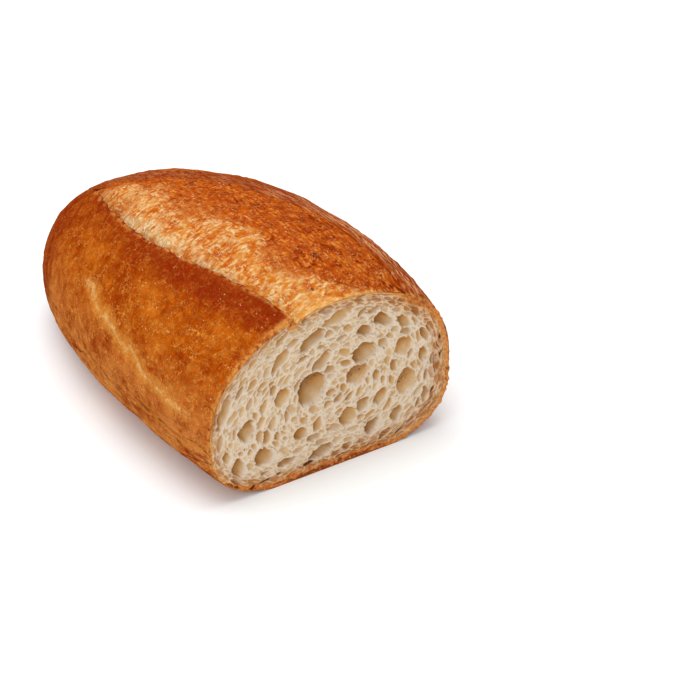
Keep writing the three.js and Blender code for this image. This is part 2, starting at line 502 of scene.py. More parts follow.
@dataclass
class Crust:
    """The browned skin: one closed shell, folded up into the ear and sunk under the slash."""

    form: LoafForm
    ear_rise: float = 2.2 * MM
    ear_reach: float = 8.0 * MM
    ear_overhang: float = 1.3 * MM
    ear_thickness: float = 1.1 * MM
    bed_depth: float = 5.0 * MM
    lip_rise: float = 0.1 * MM
    lip_reach: float = 6.0 * MM
    unfolds_at: float = 0.15
    columns: tuple[int, int, int, int, int] = (178, 16, 12, 12, 200)
    pocket_rows: int = 8
    skin_rows: int = 228
    heel_crowding: float = 1.15
    pocket: tuple[tuple[float, float], ...] = (
        (-15.0, 60.0), (-15.0, 30.0), (-15.0, 6.0), (-9.0, 3.0),
        (-2.0, 1.6), (-0.5, 0.9), (-0.25, 0.4), (-0.1, 0.12),
    )
    bed_starts_at: float = -9.0 * MM

    def along(self) -> Array:
        """x of every row of the skin, from the cut to the heel's tip."""
        part = np.linspace(0, 1, self.skin_rows + 1)
        return -self.form.length * (1 - (1 - part) ** self.heel_crowding)

    def ring(self, x: float, wave: float, swell: float) -> Array:
        """One section of the skin with its ear, bed and lip.

        Args:
            x: Where the section is.
            wave: How far the ear's edge strays sideways here.
            swell: How much higher or lower the ear stands here, as a part of its rise.

        Returns:
            Columns by 2: y and z, from the middle of the base up the -y side.
        """
        cut = Section(self.form, x)
        small = min(1.0, cut.girth / 0.2 + 1e-3)
        fade = float(self.form.fade(x)) * small
        rise = self.ear_rise * fade * (1 + swell)
        reach, tip = self.ear_reach * small, self.ear_overhang * small * fade
        left, fold, bed, lip, right = self.columns
        start = 1.5 * MM * small
        ear = cut.ear + wave * fade
        climb = np.linspace(0, ear - start, left, endpoint=False)
        lift = rise * np.exp((climb - ear) / reach)
        thick, sunk = self.ear_thickness * fade, self.bed_depth * fade
        turn = bezier([(-start, rise * math.exp(-start / reach)), (0.0, rise * 1.05), (tip * 1.6, rise * 1.1),
                       (tip * 1.3, rise - 1.2 * thick), (-start, rise - 1.6 * thick),
                       (-2.2 * start, -0.4 * sunk), (-start, -sunk)], fold)
        tuck = 1.2 * MM * small
        floor = np.linspace(ear - start, cut.lip + tuck, bed + 2)[1:-1]
        edge = bezier([(tuck, -sunk), (tuck * 1.2, -0.3 * sunk), (-0.2 * tuck, -0.5 * thick),
                       (-0.3 * tuck, self.lip_rise * fade), (0.5 * tuck, self.lip_rise * fade),
                       (start, self.lip_rise * fade * 0.8)], lip)
        folded = np.concatenate([ear + turn[:, 0], floor, cut.lip + edge[:, 0]])
        level = np.linspace(ear - start, cut.lip + start, len(folded))
        folded = level + (folded - level) * float(ease(np.array(fade), 0, self.unfolds_at))
        fall = np.linspace(cut.lip + start, cut.girth, right + 2)[1:-1]
        drop = self.lip_rise * fade * 0.8 * np.exp(-(fall - cut.lip - start) / (self.lip_reach * small))
        runs = np.concatenate([climb, folded, fall])
        lifts = np.concatenate([lift, turn[:, 1], np.full(bed, -sunk), edge[:, 1], drop])
        ring = cut.at(runs, lifts)
        ring[:, 1] = np.maximum(ring[:, 1], cut.points[:, 1].min())
        return ring

    def sheet(self) -> Array:
        """Every ring of the shell, rows by columns by 3, before the fine relief."""
        xs = self.along()
        spots = np.column_stack([xs, np.zeros((len(xs), 2))])
        wave = 1.3 * MM * Grain(11).at(spots, 10 * MM) + 0.6 * MM * Grain(12).at(spots, 3.4 * MM)
        swell = 0.5 * Grain(13).at(spots, 12 * MM)
        rings = [self.ring(x, w, s) for x, w, s in zip(xs, wave, swell)]
        skin = np.array([np.column_stack([np.full(len(r), x), r]) for x, r in zip(xs, rings)])
        sunk = slice(self.columns[0] + self.columns[1] - 5, sum(self.columns[:3]) + 5)
        squeezed = self.bed_starts_at + 0.25 * skin[:, sunk, 0]
        skin[:, sunk, 0] = np.where(skin[:, sunk, 0] > self.bed_starts_at / 0.75, squeezed, skin[:, sunk, 0])
        heart = np.array([0, *self.form.heart])
        pocket = []
        for depth, inset in self.pocket:
            reach = np.linalg.norm(skin[0] - heart, axis=1, keepdims=True)
            inner = heart + (skin[0] - heart) * np.maximum(0, 1 - inset * MM / reach)
            inner[:, 0] = np.minimum(skin[0, :, 0], depth * MM)
            pocket.append(inner)
        return np.concatenate([pocket, skin])

    def relief(self, points: Array) -> Array:
        """How far the baked skin stands proud of its smooth form at each point."""
        x, z = points[:, 0], points[:, 2]
        lumps = 0.55 * Grain(21).at(points, 26 * MM) + 0.28 * Grain(22).at(points, 11 * MM)
        blisters = np.maximum(0, Grain(23).at(points, 3.4 * MM) - 0.25) * 0.55
        fine = 0.07 * Grain(24).at(points, 1.9 * MM)
        streaky = self.streaky(points)
        wrinkles = streaky * 0.6 * -np.abs(Grain(25).at(points, (22 * MM, 5 * MM, 3.6 * MM)))
        broken = 0.3 + 0.5 * ease(points[:, 1], -10 * MM, 40 * MM)
        gashes = 0.4 * np.maximum(0, 1.2 - self.splits(points))
        chips = ease(x, -1.4 * MM, 0.0) * broken * Grain(26).layered(points, 2.4 * MM, 2)
        skin = ease(z, 0.4 * MM, 3 * MM) * (lumps + blisters + fine + wrinkles - gashes)
        return MM * (skin + ease(z, 0, 1 * MM) * chips)

    def splits(self, points: Array) -> Array:
        """How far each point is from the nearest crack of the skin, in half widths of it."""
        return split(points, SIDE_CRACKS, 0.3 * MM * Grain(28).at(points, 5 * MM))

    def build(self, material: bpy.types.Material) -> bpy.types.Object:
        """Makes the shell.

        Args:
            material: The crust's finish.

        Returns:
            The piece.
        """
        columns = sum(self.columns)
        sheet = self.sheet()
        rows = len(sheet)
        normals = grid_normals(sheet)
        flat = sheet.reshape(-1, 3)
        proud = self.relief(flat).reshape(rows, columns)
        proud[: self.pocket_rows - 2] = 0
        sheet = sheet + normals * proud[..., None]
        sheet[..., 2] = np.maximum(sheet[..., 2], 0)
        self.rim = sheet[self.pocket_rows]
        bm = bmesh.new()
        bmesh.ops.create_uvsphere(bm, u_segments=columns, v_segments=rows - 1, radius=1)
        mesh = finished_mesh(bm, "crust")
        ball = vertex_array(mesh)
        turns = np.arctan2(ball[:, 1], ball[:, 0]) / (2 * math.pi)
        column = np.floor(turns * columns).astype(int) % columns
        polar = QUARTER - np.arcsin(np.clip(ball[:, 2], -1, 1))
        row = np.rint(polar / math.pi * (rows - 1)).astype(int)
        pole = (row == 0) | (row == rows - 1)
        points = sheet[row, column]
        points[pole] = sheet.mean(axis=1)[row[pole]]
        move_vertices(mesh, self.form.place(points))
        write_attribute(mesh, "scorch_and_heel_shade", self.scorch_and_heel_shade(points))
        write_attribute(mesh, "off_streak", self.off_streak(points))
        along = ease(-points[:, 0], 2 * MM, 26 * MM) * (1 - ease(-points[:, 0], 84 * MM, 112 * MM))
        write_attribute(mesh, "streaked", along)
        write_attribute(mesh, "low", 1 - ease(points[:, 2], 20 * MM, 58 * MM))
        write_attribute(mesh, "lip", self.lip_band(points))
        write_attribute(mesh, "beyond", self.beyond(points))
        write_attribute(mesh, "split", self.splits(points))
        write_attribute(mesh, "streaky", self.streaky(points))
        write_attribute(mesh, "torn", self.torn(points))
        write_attribute(mesh, "edge", ease(points[:, 0], -2.2 * MM, -0.3 * MM))
        tip = self.columns[0] + 3
        fringe = np.exp(-(((column - tip) / 1.3) ** 2)) * self.form.fade(points[:, 0])
        write_attribute(mesh, "fringe", fringe)
        return make_piece("crust", mesh, material)

    def scorch_and_heel_shade(self, points: Array) -> Array:
        """How much darker than usual the skin is: baked darker by its distance below the ear, beyond the lip
        and underneath, with painted shade towards the heel's tip.
        """
        ear, lip = self.form.edges(points[:, 0])
        near = np.exp(-(((points[:, 1] - ear) / (14 * MM)) ** 2))
        near *= ease(points[:, 2], self.form.waist, self.form.waist + 26 * MM)
        near *= 0.65 + 0.35 * ease(points[:, 0], -100 * MM, -40 * MM)
        past = points[:, 1] - lip + 3 * MM * Grain(30).layered(points, 15 * MM, 2)
        beyond = ease(past, -2 * MM, 1 * MM) * (1 - 0.75 * ease(past, 10 * MM, 26 * MM))
        beyond *= 0.25 + 0.75 * ease(points[:, 2], 48 * MM, 64 * MM)
        under = 1 - ease(points[:, 2], 0.5 * MM, 5 * MM)
        behind = -points[:, 0] + 14 * MM * Grain(37).layered(points, 26 * MM, 2) * (points[:, 1] > 0)
        # painted shade: darker towards the heel's tip, most on the -y side
        heel = 0.75 * ease(behind, 98 * MM, 160 * MM) * (1 - 0.45 * ease(points[:, 1], 5 * MM, 40 * MM))
        return np.clip(np.maximum(np.maximum(near, beyond), heel) + 0.8 * under, 0, 1)

    def off_streak(self, points: Array) -> Array:
        """How far each point lies above the pale streak along the side, in millimetres."""
        x, y, z = points.T
        spots = np.column_stack([x, np.zeros((len(x), 2))])
        line = 33.5 * MM - 0.2 * x + 1.6 * MM * Grain(27).at(spots, 14 * MM)
        return np.where(y < 0, np.clip((z - line) / MM, -30, 30), 30)

    def beyond(self, points: Array) -> Array:
        """The strip along the far side of the slash, from 0 to 1."""
        past = (points[:, 1] - self.form.edges(points[:, 0])[1]) / MM
        past = past + 2.5 * Grain(34).layered(points, 9 * MM, 2)
        high = ease(points[:, 2] / MM + 4 * Grain(35).layered(points, 12 * MM, 2), 50, 66)
        along = 0.3 + 0.7 * ease(points[:, 0], -100 * MM, -50 * MM)
        return along * ease(past, -1, 3) * (1 - ease(past, 12, 24)) * high

    def streaky(self, points: Array) -> Array:
        """Where the skin is wrinkled lengthwise: low on the sides and beyond the slash's lip."""
        low = 1 - ease(points[:, 2], 22 * MM, 36 * MM)
        return np.maximum(low, 0.4 * self.beyond(points))

    def lip_band(self, points: Array) -> Array:
        """The dark band just beyond the slash's lip, from 0 to 1."""
        beyond = (points[:, 1] - self.form.edges(points[:, 0])[1]) / MM
        beyond = beyond + 1.5 * Grain(29).layered(points, 7 * MM, 2)
        along = 0.5 + 0.5 * ease(points[:, 0], -80 * MM, -20 * MM)
        return along * ease(beyond, -2, 1) * (1 - ease(beyond, 3, 8)) * ease(points[:, 2], 34 * MM, 46 * MM)

    def torn(self, points: Array) -> Array:
        """Where the skin by the slash's lip and tail is as torn as the bloom is."""
        ear, lip = self.form.edges(points[:, 0])
        by_lip = np.exp(-((np.maximum(0, points[:, 1] - lip) / (12 * MM)) ** 2)) * (points[:, 1] > ear)
        behind = ease(-points[:, 0], 120 * MM, 150 * MM) * ease(points[:, 1], -26 * MM, -10 * MM)
        behind *= 1 - ease(points[:, 1], 8 * MM, 22 * MM)
        patchy = ease(Grain(36).layered(points, 10 * MM, 2), -0.5, 0.4)
        return np.maximum(by_lip, 0.6 * behind) * ease(points[:, 2], 40 * MM, 60 * MM) * patchy


@dataclass(frozen=True)
class Patch:
    """A soft-edged patch of the bloom that baked browner, or paler where browner is below 0."""

    x: float
    y: float
    along: float
    across: float
    browner: float


BAKED_PATCHES = (
    Patch(-74, 12, 20, 7, 0.5), Patch(-56, 15, 12, 8, 0.5), Patch(-38, 12, 12, 8, 0.7),
    Patch(-26, 5, 9, 7, 0.7), Patch(-12, 12, 5, 7, 0.4), Patch(-47, -7, 12, 6, -0.5),
    Patch(-9, -6, 7, 9, -0.4), Patch(-112, -14, 12, 6, -0.3), Patch(-102, 16, 26, 10, 0.35),
    Patch(-62, 26, 30, 6, 0.35), Patch(-125, -6, 10, 7, 0.5), Patch(-96, -8, 9, 5, 0.3),
    Patch(-70, -20, 16, 6, -0.3),
)


@dataclass
class Bloom:
    """The torn crust that rose through the slash, tucked under the ear and the lip."""

    form: LoafForm
    ear_tuck: float = 2.4 * MM
    lip_tuck: float = 5.0 * MM
    lip_cover: float = 0.25 * MM
    lip_slope: float = 0.2
    drop: float = 1.7 * MM
    drop_reach: float = 5.5 * MM
    bulge: float = 0.9 * MM
    rows: int = 410
    columns: int = 204
    ends_at: float = -157 * MM
    skirt: float = 7.0 * MM

    def surface(self) -> Array:
        """The smooth surface, rows by columns by 3."""
        xs = np.linspace(-0.1 * MM, self.ends_at, self.rows + 1)
        sheet = []
        for x in xs:
            cut = Section(self.form, x)
            fade = float(self.form.fade(x))
            run = np.linspace(cut.ear - self.ear_tuck, cut.lip + self.lip_tuck, self.columns + 1)
            width = max(cut.lip - cut.ear, 1e-6)
            across = np.clip((run - cut.ear) / width, 0, 1)
            from_ear, from_lip = run - cut.ear, cut.lip - run
            lift = self.bulge * np.sin(math.pi * across) ** 0.8
            lift -= self.drop * np.exp(-np.maximum(from_ear, 0) / self.drop_reach)
            lift += self.lip_cover * np.exp(-np.maximum(from_lip, 0) / (3 * MM))
            lift -= 0.5 * np.maximum(0, -from_ear) + self.lip_slope * np.maximum(0, -from_lip)
            sink = 2.5 * MM * float(ease(np.array(-x), 0.146, 0.157))
            ring = cut.at(run, lift * fade - sink)
            sheet.append(np.column_stack([np.full(len(ring), x), ring]))
        return np.array(sheet)

    def relief(self, points: Array, from_ear: Array) -> tuple[Array, Array]:
        """The curly torn relief.

        Args:
            points: Where it is measured.
            from_ear: How far each point lies from the ear.

        Returns:
            The height of each point, and the same as a number from about -1 to 1.
        """
        stray = np.column_stack([Grain(31 + n).at(points, 4 * MM) for n in range(3)]) * 1.2 * MM
        curled = (points + stray) * (1, 0.6, 0.8)
        coarse = np.sin(2 * math.pi * 1.7 * Grain(41).at(curled, 5 * MM))
        fine = np.sin(2 * math.pi * 1.5 * Grain(42).at(curled, 3.2 * MM))
        share = 0.5 + 0.5 * Grain(44).at(points, 7 * MM)
        lumps = Grain(43).layered(points * (1, 0.7, 1), 8 * MM, 3)
        pits = np.maximum(0, Grain(45).at(curled, 3 * MM) - 0.4) * 2
        fibres = Grain(47).at(points, (1.5 * MM, 9 * MM, 9 * MM)) * np.exp(-from_ear / (6 * MM))
        shape = coarse * share + fine * (1 - share) - pits
        height = MM * (0.14 * shape + 0.6 * lumps + 0.12 * fibres)
        return height, np.clip(shape, -1.4, 1)

    def toast(self, points: Array, from_ear: Array, from_lip: Array) -> Array:
        """How brown the bloom baked at each point, from about 0 to 1."""
        x, y = points[:, 0], points[:, 1]
        reach = from_ear + 5 * MM * Grain(46).layered(points, 12 * MM, 3)
        brown = ease(reach, 6 * MM, 27 * MM) * 0.75 + 0.8 * ease(from_ear, 22 * MM, 38 * MM)
        brown += 0.45 * np.exp(-((from_lip / (6 * MM)) ** 2))
        for patch in BAKED_PATCHES:
            away = np.hypot((x / MM - patch.x) / patch.along, (y / MM - patch.y) / patch.across)
            brown += patch.browner * np.exp(-(away ** 2))
        brown += 0.25 * ease(-x, 95 * MM, 130 * MM)
        brown += 0.5 * Grain(49).layered(points, 17 * MM, 2)
        by_lip = np.exp(-((from_lip / (5 * MM)) ** 2))
        brown -= 0.7 * np.exp(-((x / (4.5 * MM)) ** 2)) * (1 - 0.6 * by_lip)
        return brown

    def freshly_cut(self, points: Array, from_lip: Array) -> Array:
        """How cream the bloom is because the knife has just passed, from 0 to 1."""
        reach = -points[:, 0] - 2 * MM * Grain(50).layered(points, 6 * MM, 3)
        wide = 1.8 + 7.6 * np.exp(-(((points[:, 1] / MM + 9) / 10) ** 2))
        return (1 - ease(reach / MM, 0.05 * wide, wide)) * ease(from_lip, 1 * MM, 9 * MM)

    def web(self, points: Array, from_ear: Array) -> Array:
        """Where pale threads of crumb show beside the ear, from 0 to 1."""
        x = points[:, 0]
        wide = 3 * MM + 4 * MM * np.exp(-(((x + 75 * MM) / (28 * MM)) ** 2))
        wide = wide + 2.5 * MM * Grain(48).layered(points, 9 * MM, 3)
        along = ease(-x, 8 * MM, 34 * MM) * (1 - ease(-x, 96 * MM, 118 * MM))
        patchy = ease(Grain(51).layered(points, 8 * MM, 2), -0.5, 0.1)
        return along * patchy * (1 - ease(from_ear, wide - 2 * MM, wide + 2 * MM)) * 0.85

    def build(self, material: bpy.types.Material) -> bpy.types.Object:
        """Makes the patch and closes it underneath.

        Args:
            material: The bloom's finish.

        Returns:
            The piece.
        """
        sheet = self.surface()
        down = np.gradient(sheet, axis=0)
        around = np.gradient(sheet, axis=1)
        normal = np.cross(around, down)
        normal /= np.linalg.norm(normal, axis=2, keepdims=True) + 1e-12
        normal *= np.sign(normal[..., 2].mean())
        ear, lip = (edge[..., None] for edge in self.form.edges(sheet[:, 0, 0]))
        from_ear = np.maximum(0, sheet[..., 1] - ear).ravel()
        from_lip = np.maximum(0, lip - sheet[..., 1]).ravel()
        smooth = sheet.reshape(-1, 3)
        height, shape = self.relief(smooth, from_ear)
        calm = 0.4 + 0.6 * ease(-smooth[:, 0], 0, 2 * MM)
        flat = smooth + normal.reshape(-1, 3) * (height * calm)[:, None]
        self.front = flat.reshape(sheet.shape)[0]
        bm = bmesh.new()
        bmesh.ops.create_grid(bm, x_segments=self.rows, y_segments=self.columns, size=1)
        bmesh.ops.recalc_face_normals(bm, faces=bm.faces)
        close_below(bm)
        mesh = finished_mesh(bm, "bloom")
        board = vertex_array(mesh)
        row = np.rint((board[:, 0] + 1) / 2 * self.rows).astype(int)
        column = np.rint((board[:, 1] + 1) / 2 * self.columns).astype(int)
        index = row * (self.columns + 1) + column
        points = flat[index]
        under = board[:, 2] < -0.5
        heart = np.array([-70 * MM, 0, 50 * MM])
        inwards = points[under] - heart
        inwards /= np.linalg.norm(inwards, axis=1, keepdims=True)
        points[under] = points[under] - inwards * self.skirt
        points[under, 0] -= 0.5 * MM
        move_vertices(mesh, self.form.place(points))
        write_attribute(mesh, "curl", shape[index])
        cracks = split(smooth, BLOOM_CRACKS, 0.4 * MM * Grain(52).at(smooth, 3 * MM))
        write_attribute(mesh, "split", cracks[index])
        write_attribute(mesh, "web", self.web(smooth, from_ear)[index])
        write_attribute(mesh, "fresh", self.freshly_cut(smooth, from_lip)[index])
        write_attribute(mesh, "toast", self.toast(smooth, from_ear, from_lip)[index])
        return make_piece("bloom", mesh, material)


@dataclass(frozen=True)
class Hole:
    """One of the large holes of the cut face, in millimetres and degrees."""

    across: float
    up: float
    long: float
    short: float
    lean: float
    deep: float
    # specks: dark specks and painted shade on the hole's sheltered side
    specks: float = 0.0


LARGE_HOLES = (
    Hole(-9, 37, 7.6, 6.8, 60, 7.5, 1.0), Hole(15, 45, 6.6, 4.6, 0, 5.5, 0.3),
    Hole(12, 36.5, 6.4, 4.6, 0, 3.2, 0.8), Hole(35, 26, 6.0, 5.6, 90, 2.6, 0.6),
    Hole(24, 56.5, 5.2, 3.3, -20, 4.4), Hole(15, 54.5, 4.2, 2.8, 0, 4.4),
    Hole(-8.5, 58, 7.0, 2.9, 28, 4.2, 0.3), Hole(-4.5, 47.5, 6.6, 2.6, 40, 3.4),
    Hole(-23, 54, 6.4, 2.6, 48, 2.8), Hole(2.5, 64, 8.5, 2.6, 18, 1.8),
    Hole(-48, 40, 8.6, 2.4, 68, 3.6), Hole(-38.3, 28.4, 4.6, 3.8, 70, 4.4, 0.4),
    Hole(-31, 15, 4.8, 4.2, 20, 4.2, 0.4), Hole(-42.3, 13.7, 4.4, 3.2, 100, 4.0),
    Hole(-21, 9.2, 4.6, 1.9, 10, 3.2, 0.4), Hole(-5.5, 8.2, 7.0, 2.4, 14, 5.0, 0.4),
    Hole(18.3, 11, 5.0, 2.8, 62, 5.2), Hole(30.2, 13, 4.0, 3.2, 60, 4.6),
    Hole(7.5, 19.5, 5.2, 3.8, 80, 3.6), Hole(-22.5, 38, 4.6, 3.6, 65, 2.4),
    Hole(-14.2, 19.1, 3.4, 3.0, 60, 3.0), Hole(-29.6, 23.2, 3.2, 2.1, 85, 2.8),
    Hole(33.5, 42, 5.0, 4.4, 0, 1.8), Hole(43.1, 44.3, 3.8, 1.7, -62, 3.4),
    Hole(42.5, 35.5, 3.4, 2.7, -70, 2.6), Hole(49.2, 29, 5.2, 1.5, 88, 2.8),
    Hole(24.9, 6.1, 3.6, 1.6, 30, 3.4), Hole(33, 53, 4.8, 2.3, -42, 2.8),
    Hole(28.5, 35, 3.6, 1.8, -60, 2.4), Hole(14.6, 22.4, 3.4, 2.8, 30, 3.6),
    Hole(22.5, 22.9, 4.4, 3.0, 60, 2.8), Hole(37.6, 8.2, 3.8, 1.3, 50, 3.2),
    Hole(-47.3, 20.5, 2.8, 2.2, 80, 2.6), Hole(-24.6, 21.8, 1.5, 2.6, 0, 2.8),
    Hole(-37.1, 19.6, 1.7, 1.4, 40, 2.2), Hole(-41, 19.6, 1.5, 1.2, 40, 2.0),
    Hole(3.1, 28.9, 3.0, 2.0, 60, 2.6), Hole(8.3, 28.2, 2.2, 1.7, 50, 2.4),
    Hole(-6.5, 20.6, 3.6, 2.4, 75, 2.0), Hole(44.2, 25.6, 3.0, 1.2, 75, 3.0),
    Hole(40.6, 14.5, 3.4, 1.2, 55, 2.8), Hole(32.6, 10.8, 2.4, 1.0, 50, 2.4),
    Hole(45.4, 45.2, 3.2, 0.9, -58, 2.6), Hole(49.8, 37.6, 2.2, 0.7, -70, 2.6),
    Hole(38.8, 51.5, 2.4, 0.9, -50, 2.0), Hole(6.8, 6.8, 3.0, 1.8, 30, 2.4),
    Hole(-34.4, 57.2, 5.0, 1.0, 52, 1.6), Hole(-21.7, 63.2, 6.0, 1.1, 38, 1.8),
    Hole(-30.6, 8, 2.8, 0.9, 12, 2.4), Hole(-30.7, 36.9, 3.4, 1.6, 75, 2.2),
)

CRUST_SLITS = (
    Hole(-30.3, 4.3, 3.2, 0.74, 9, 1.4), Hole(-36.8, 3.4, 2.6, 0.54, 2, 1.4),
    Hole(-11, 4.8, 2.8, 0.94, 10, 1.4), Hole(-24.5, 5.3, 1.3, 0.61, 12, 1.4),
    Hole(-46.5, 8.2, 2.2, 0.61, -38, 1.4), Hole(4, 3.6, 2.4, 0.47, 6, 1.4),
    Hole(-43.6, 6.2, 1.4, 0.47, -30, 1.2), Hole(31.1, 4.6, 2.4, 0.54, 28, 1.4),
    Hole(51.2, 33, 2, 0.47, 86, 1.4), Hole(50.6, 40.5, 1.6, 0.47, -72, 1.4),
    Hole(47.6, 18, 2, 0.54, 62, 1.4), Hole(16, 3.4, 1.6, 0.41, 8, 1.2),
)

CRUST_THICKNESS = {
    -180: 0.6, -160: 0.8, -147: 1.4, -130: 2.2, -112: 2.4, -90: 2.4, -60: 2.2, -42: 1.2, -20: 0.7, 0: 1.2,
    20: 1.9, 35: 2.8, 46: 1.1, 55: 0.3, 112: 0.2, 117: 1.5, 121: 1.5, 125: 0.6, 180: 0.6,
}
CRUST_DARKNESS = {
    -180: 0.0, -155: 0.4, -140: 0.8, -110: 1.0, -60: 1.0, -35: 0.5, 0: 0.4, 20: 0.7, 35: 0.9, 50: 0.1,
    180: 0.0,
}


@dataclass(frozen=True)
class BubbleSize:
    """A range of random bubbles: radii in millimetres, tries, and depth as a part of the radius."""

    biggest: float
    smallest: float
    tries: int
    depth: float


BUBBLE_SIZES = (
    BubbleSize(2.6, 1.7, 700, 0.7), BubbleSize(1.7, 1.1, 4000, 0.48), BubbleSize(1.1, 0.6, 16000, 0.36),
)


class Ovals:
    """Drawn-out bubbles or pits: rows of y, z, radius, stretch and lean, and what follows them."""

    def __init__(self, cells: Array) -> None:
        """Measures their axes.

        Args:
            cells: The rows.
        """
        self.centres = cells[:, :2]
        self.way = heading(cells[:, 4])
        self.side = np.column_stack([-self.way[:, 1], self.way[:, 0]])
        self.root = np.sqrt(cells[:, 3])

    def away(self, points: Array) -> Array:
        """How far each point is from each middle, in a measure that makes every oval round."""
        along = (points @ self.way.T - (self.centres * self.way).sum(1)) / self.root
        aside = (points @ self.side.T - (self.centres * self.side).sum(1)) * self.root
        return np.hypot(along, aside)


@dataclass
class Crumb:
    """The cut face: a sheet of bubbles cut open, pushed back from the plane of the knife."""

    form: LoafForm
    outline_inset: float = 0.22 * MM
    plane: float = -0.06 * MM
    columns: int = 356
    rows: int = 236
    skirt: float = 9.0 * MM
    seed: int = 5
    pit_count: int = 2600
    scatter: tuple[tuple[float, float], tuple[float, float]] = ((-56.0, 0.0), (56.0, 72.0))

    def outline(self, rim: Array, front: Array, samples: int = 900) -> None:
        """Takes the outermost line of the crust's rim and the bloom's front edge.

        Args:
            rim: The crust's ring at the cut.
            front: The bloom's edge at the cut.
            samples: How many directions it is measured in.
        """
        heart = self.form.heart
        dense = []
        for line in (np.vstack([rim, rim[:1]])[:, 1:], front[:, 1:]):
            places = np.arange(len(line))
            steps = np.linspace(0, len(line) - 1, len(line) * 6)
            dense.append(np.column_stack([np.interp(steps, places, line[:, n]) for n in (0, 1)]))
        spread = np.vstack(dense) - heart
        angle = bearing(spread)
        reach = np.hypot(*spread.T)
        slot = ((angle + math.pi) / (2 * math.pi) * samples).astype(int) % samples
        best = np.zeros(samples)
        np.maximum.at(best, slot, reach)
        known = np.flatnonzero(best)
        middle = (np.arange(samples) + 0.5) / samples * 2 * math.pi - math.pi
        self.directions = middle
        by_bloom = np.exp(-(((middle - 1.45) / 0.55) ** 6))
        inset = self.outline_inset * (1 - 0.9 * by_bloom)
        reaches = np.interp(middle, middle[known], best[known], period=2 * math.pi)
        shrunk = np.min([np.roll(reaches, step) for step in (-2, -1, 0, 1, 2)], axis=0)
        by_ear = np.exp(-(((middle - 2.07) / 0.09) ** 4))
        self.reaches = reaches + (shrunk - reaches) * by_ear - inset
        wide = [np.roll(self.reaches, step) for step in range(-14, 15)]
        self.calm_reaches = np.mean(wide, axis=0)

    def reach(self, angle: Array) -> Array:
        """How far the face spreads from its heart in a direction."""
        return np.interp(angle, self.directions, self.reaches, period=2 * math.pi)

    def covers(self, points: Array) -> Array:
        """Whether each point lies inside the outline."""
        spread = points - self.form.heart
        return np.hypot(*spread.T) < self.reach(bearing(spread))

    def spread(self, board: Array) -> Array:
        """Lays a square of points from -1 to 1 over the face.

        Args:
            board: N by 2.

        Returns:
            N by 2: y and z.
        """
        u, v = board.T
        y, z = u * np.sqrt(1 - v ** 2 / 2), v * np.sqrt(1 - u ** 2 / 2)
        angle = np.arctan2(z, y)
        size = np.hypot(y, z)
        calm = np.interp(angle, self.directions, self.calm_reaches, period=2 * math.pi)
        far = calm + (self.reach(angle) - calm) * size ** 8
        return self.form.heart + heading(angle) * (size * far)[:, None]

    def rim_gap(self, points: Array) -> Array:
        """How far each point lies inside the outline."""
        edge = self.form.heart + heading(self.directions) * self.reaches[:, None]
        gap = np.empty(len(points))
        for start in range(0, len(points), BATCH):
            part = points[start:start + BATCH]
            gap[start:start + BATCH] = np.sqrt(((part[:, None] - edge[None]) ** 2).sum(2)).min(1)
        return gap

    def flow(self, points: Array) -> Array:
        """The direction in which the bubbles are drawn out: along the nearest crust."""
        angle = bearing(points - self.form.heart)
        step = 0.05
        there, here = (heading(turn) * self.reach(turn)[:, None] for turn in (angle + step, angle - step))
        return bearing(there - here)

    def bubbles(self) -> Array:
        """Fills the face with bubbles, large ones first.

        Returns:
            Rows of y, z, radius, stretch, lean, depth, specks with their painted shade, and the darkness of
            the painted shade.
        """
        draw = np.random.default_rng(self.seed)
        found = []
        for hole in LARGE_HOLES:
            radius = math.sqrt(hole.long * hole.short) * MM
            # the last column is the strength of each hole's painted shade, more for deeper holes
            found.append((hole.across * MM, hole.up * MM, radius, hole.long / hole.short,
                          math.radians(hole.lean), 0.75 * hole.deep * MM, hole.specks, 0.6 + 0.1 * hole.deep))
        cells = np.array(found)
        low, high = np.array(self.scatter) * MM
        for size in BUBBLE_SIZES:
            centres = draw.uniform(low, high, (size.tries, 2))
            radii = draw.uniform(size.smallest, size.biggest, size.tries) * MM
            inside = self.covers(centres)
            centres, radii = centres[inside], radii[inside]
            gaps = self.rim_gap(centres)
            leans = self.flow(centres) + draw.normal(0, 0.22, len(centres))
            spread = centres - self.form.heart
            drawn = 1.7 + 1.2 * np.maximum(0, spread[:, 0]) / np.hypot(*spread.T)
            stretches = 1.1 + drawn * np.exp(-gaps / (11 * MM)) + draw.uniform(0, 0.8, len(centres))
            depths = radii * size.depth * draw.uniform(0.5, 1.4, len(centres))
            tried = zip(centres, radii, gaps, leans, stretches, depths)
            for centre, radius, gap, lean, stretch, depth in tried:
                if gap < radius / math.sqrt(stretch) + 0.35 * MM:
                    continue
                way = np.array([math.cos(lean), math.sin(lean)])
                away = cells[:, :2] - centre
                along = away @ way / math.sqrt(stretch)
                aside = (away @ np.array([-way[1], way[0]])) * math.sqrt(stretch)
                near = np.hypot(along, aside)
                if np.all(near > 0.9 * (radius + 0.88 * cells[:, 2])):
                    # a random strength of painted shade for each bubble
                    dark = draw.uniform(0.05, 0.85)
                    cells = np.vstack([cells, (*centre, radius, stretch, lean, depth, 0.0, dark)])
        return cells

    def pits(self) -> Array:
        """Scatters small pits over the face, whatever bubbles lie there.

        Returns:
            Rows of y, z, radius, stretch, lean and depth.
        """
        draw = np.random.default_rng(self.seed + 1)
        low, high = np.array(self.scatter) * MM
        centres = draw.uniform(low, high, (self.pit_count, 2))
        centres = centres[self.covers(centres)]
        count = len(centres)
        radii = draw.uniform(0.28, 0.62, count) * MM
        stretches = 1.2 + 1.6 * np.exp(-self.rim_gap(centres) / (11 * MM)) + draw.uniform(0, 1.0, count)
        leans = self.flow(centres) + draw.normal(0, 0.35, count)
        return np.column_stack([centres, radii, stretches, leans, radii * draw.uniform(0.5, 1.6, count)])

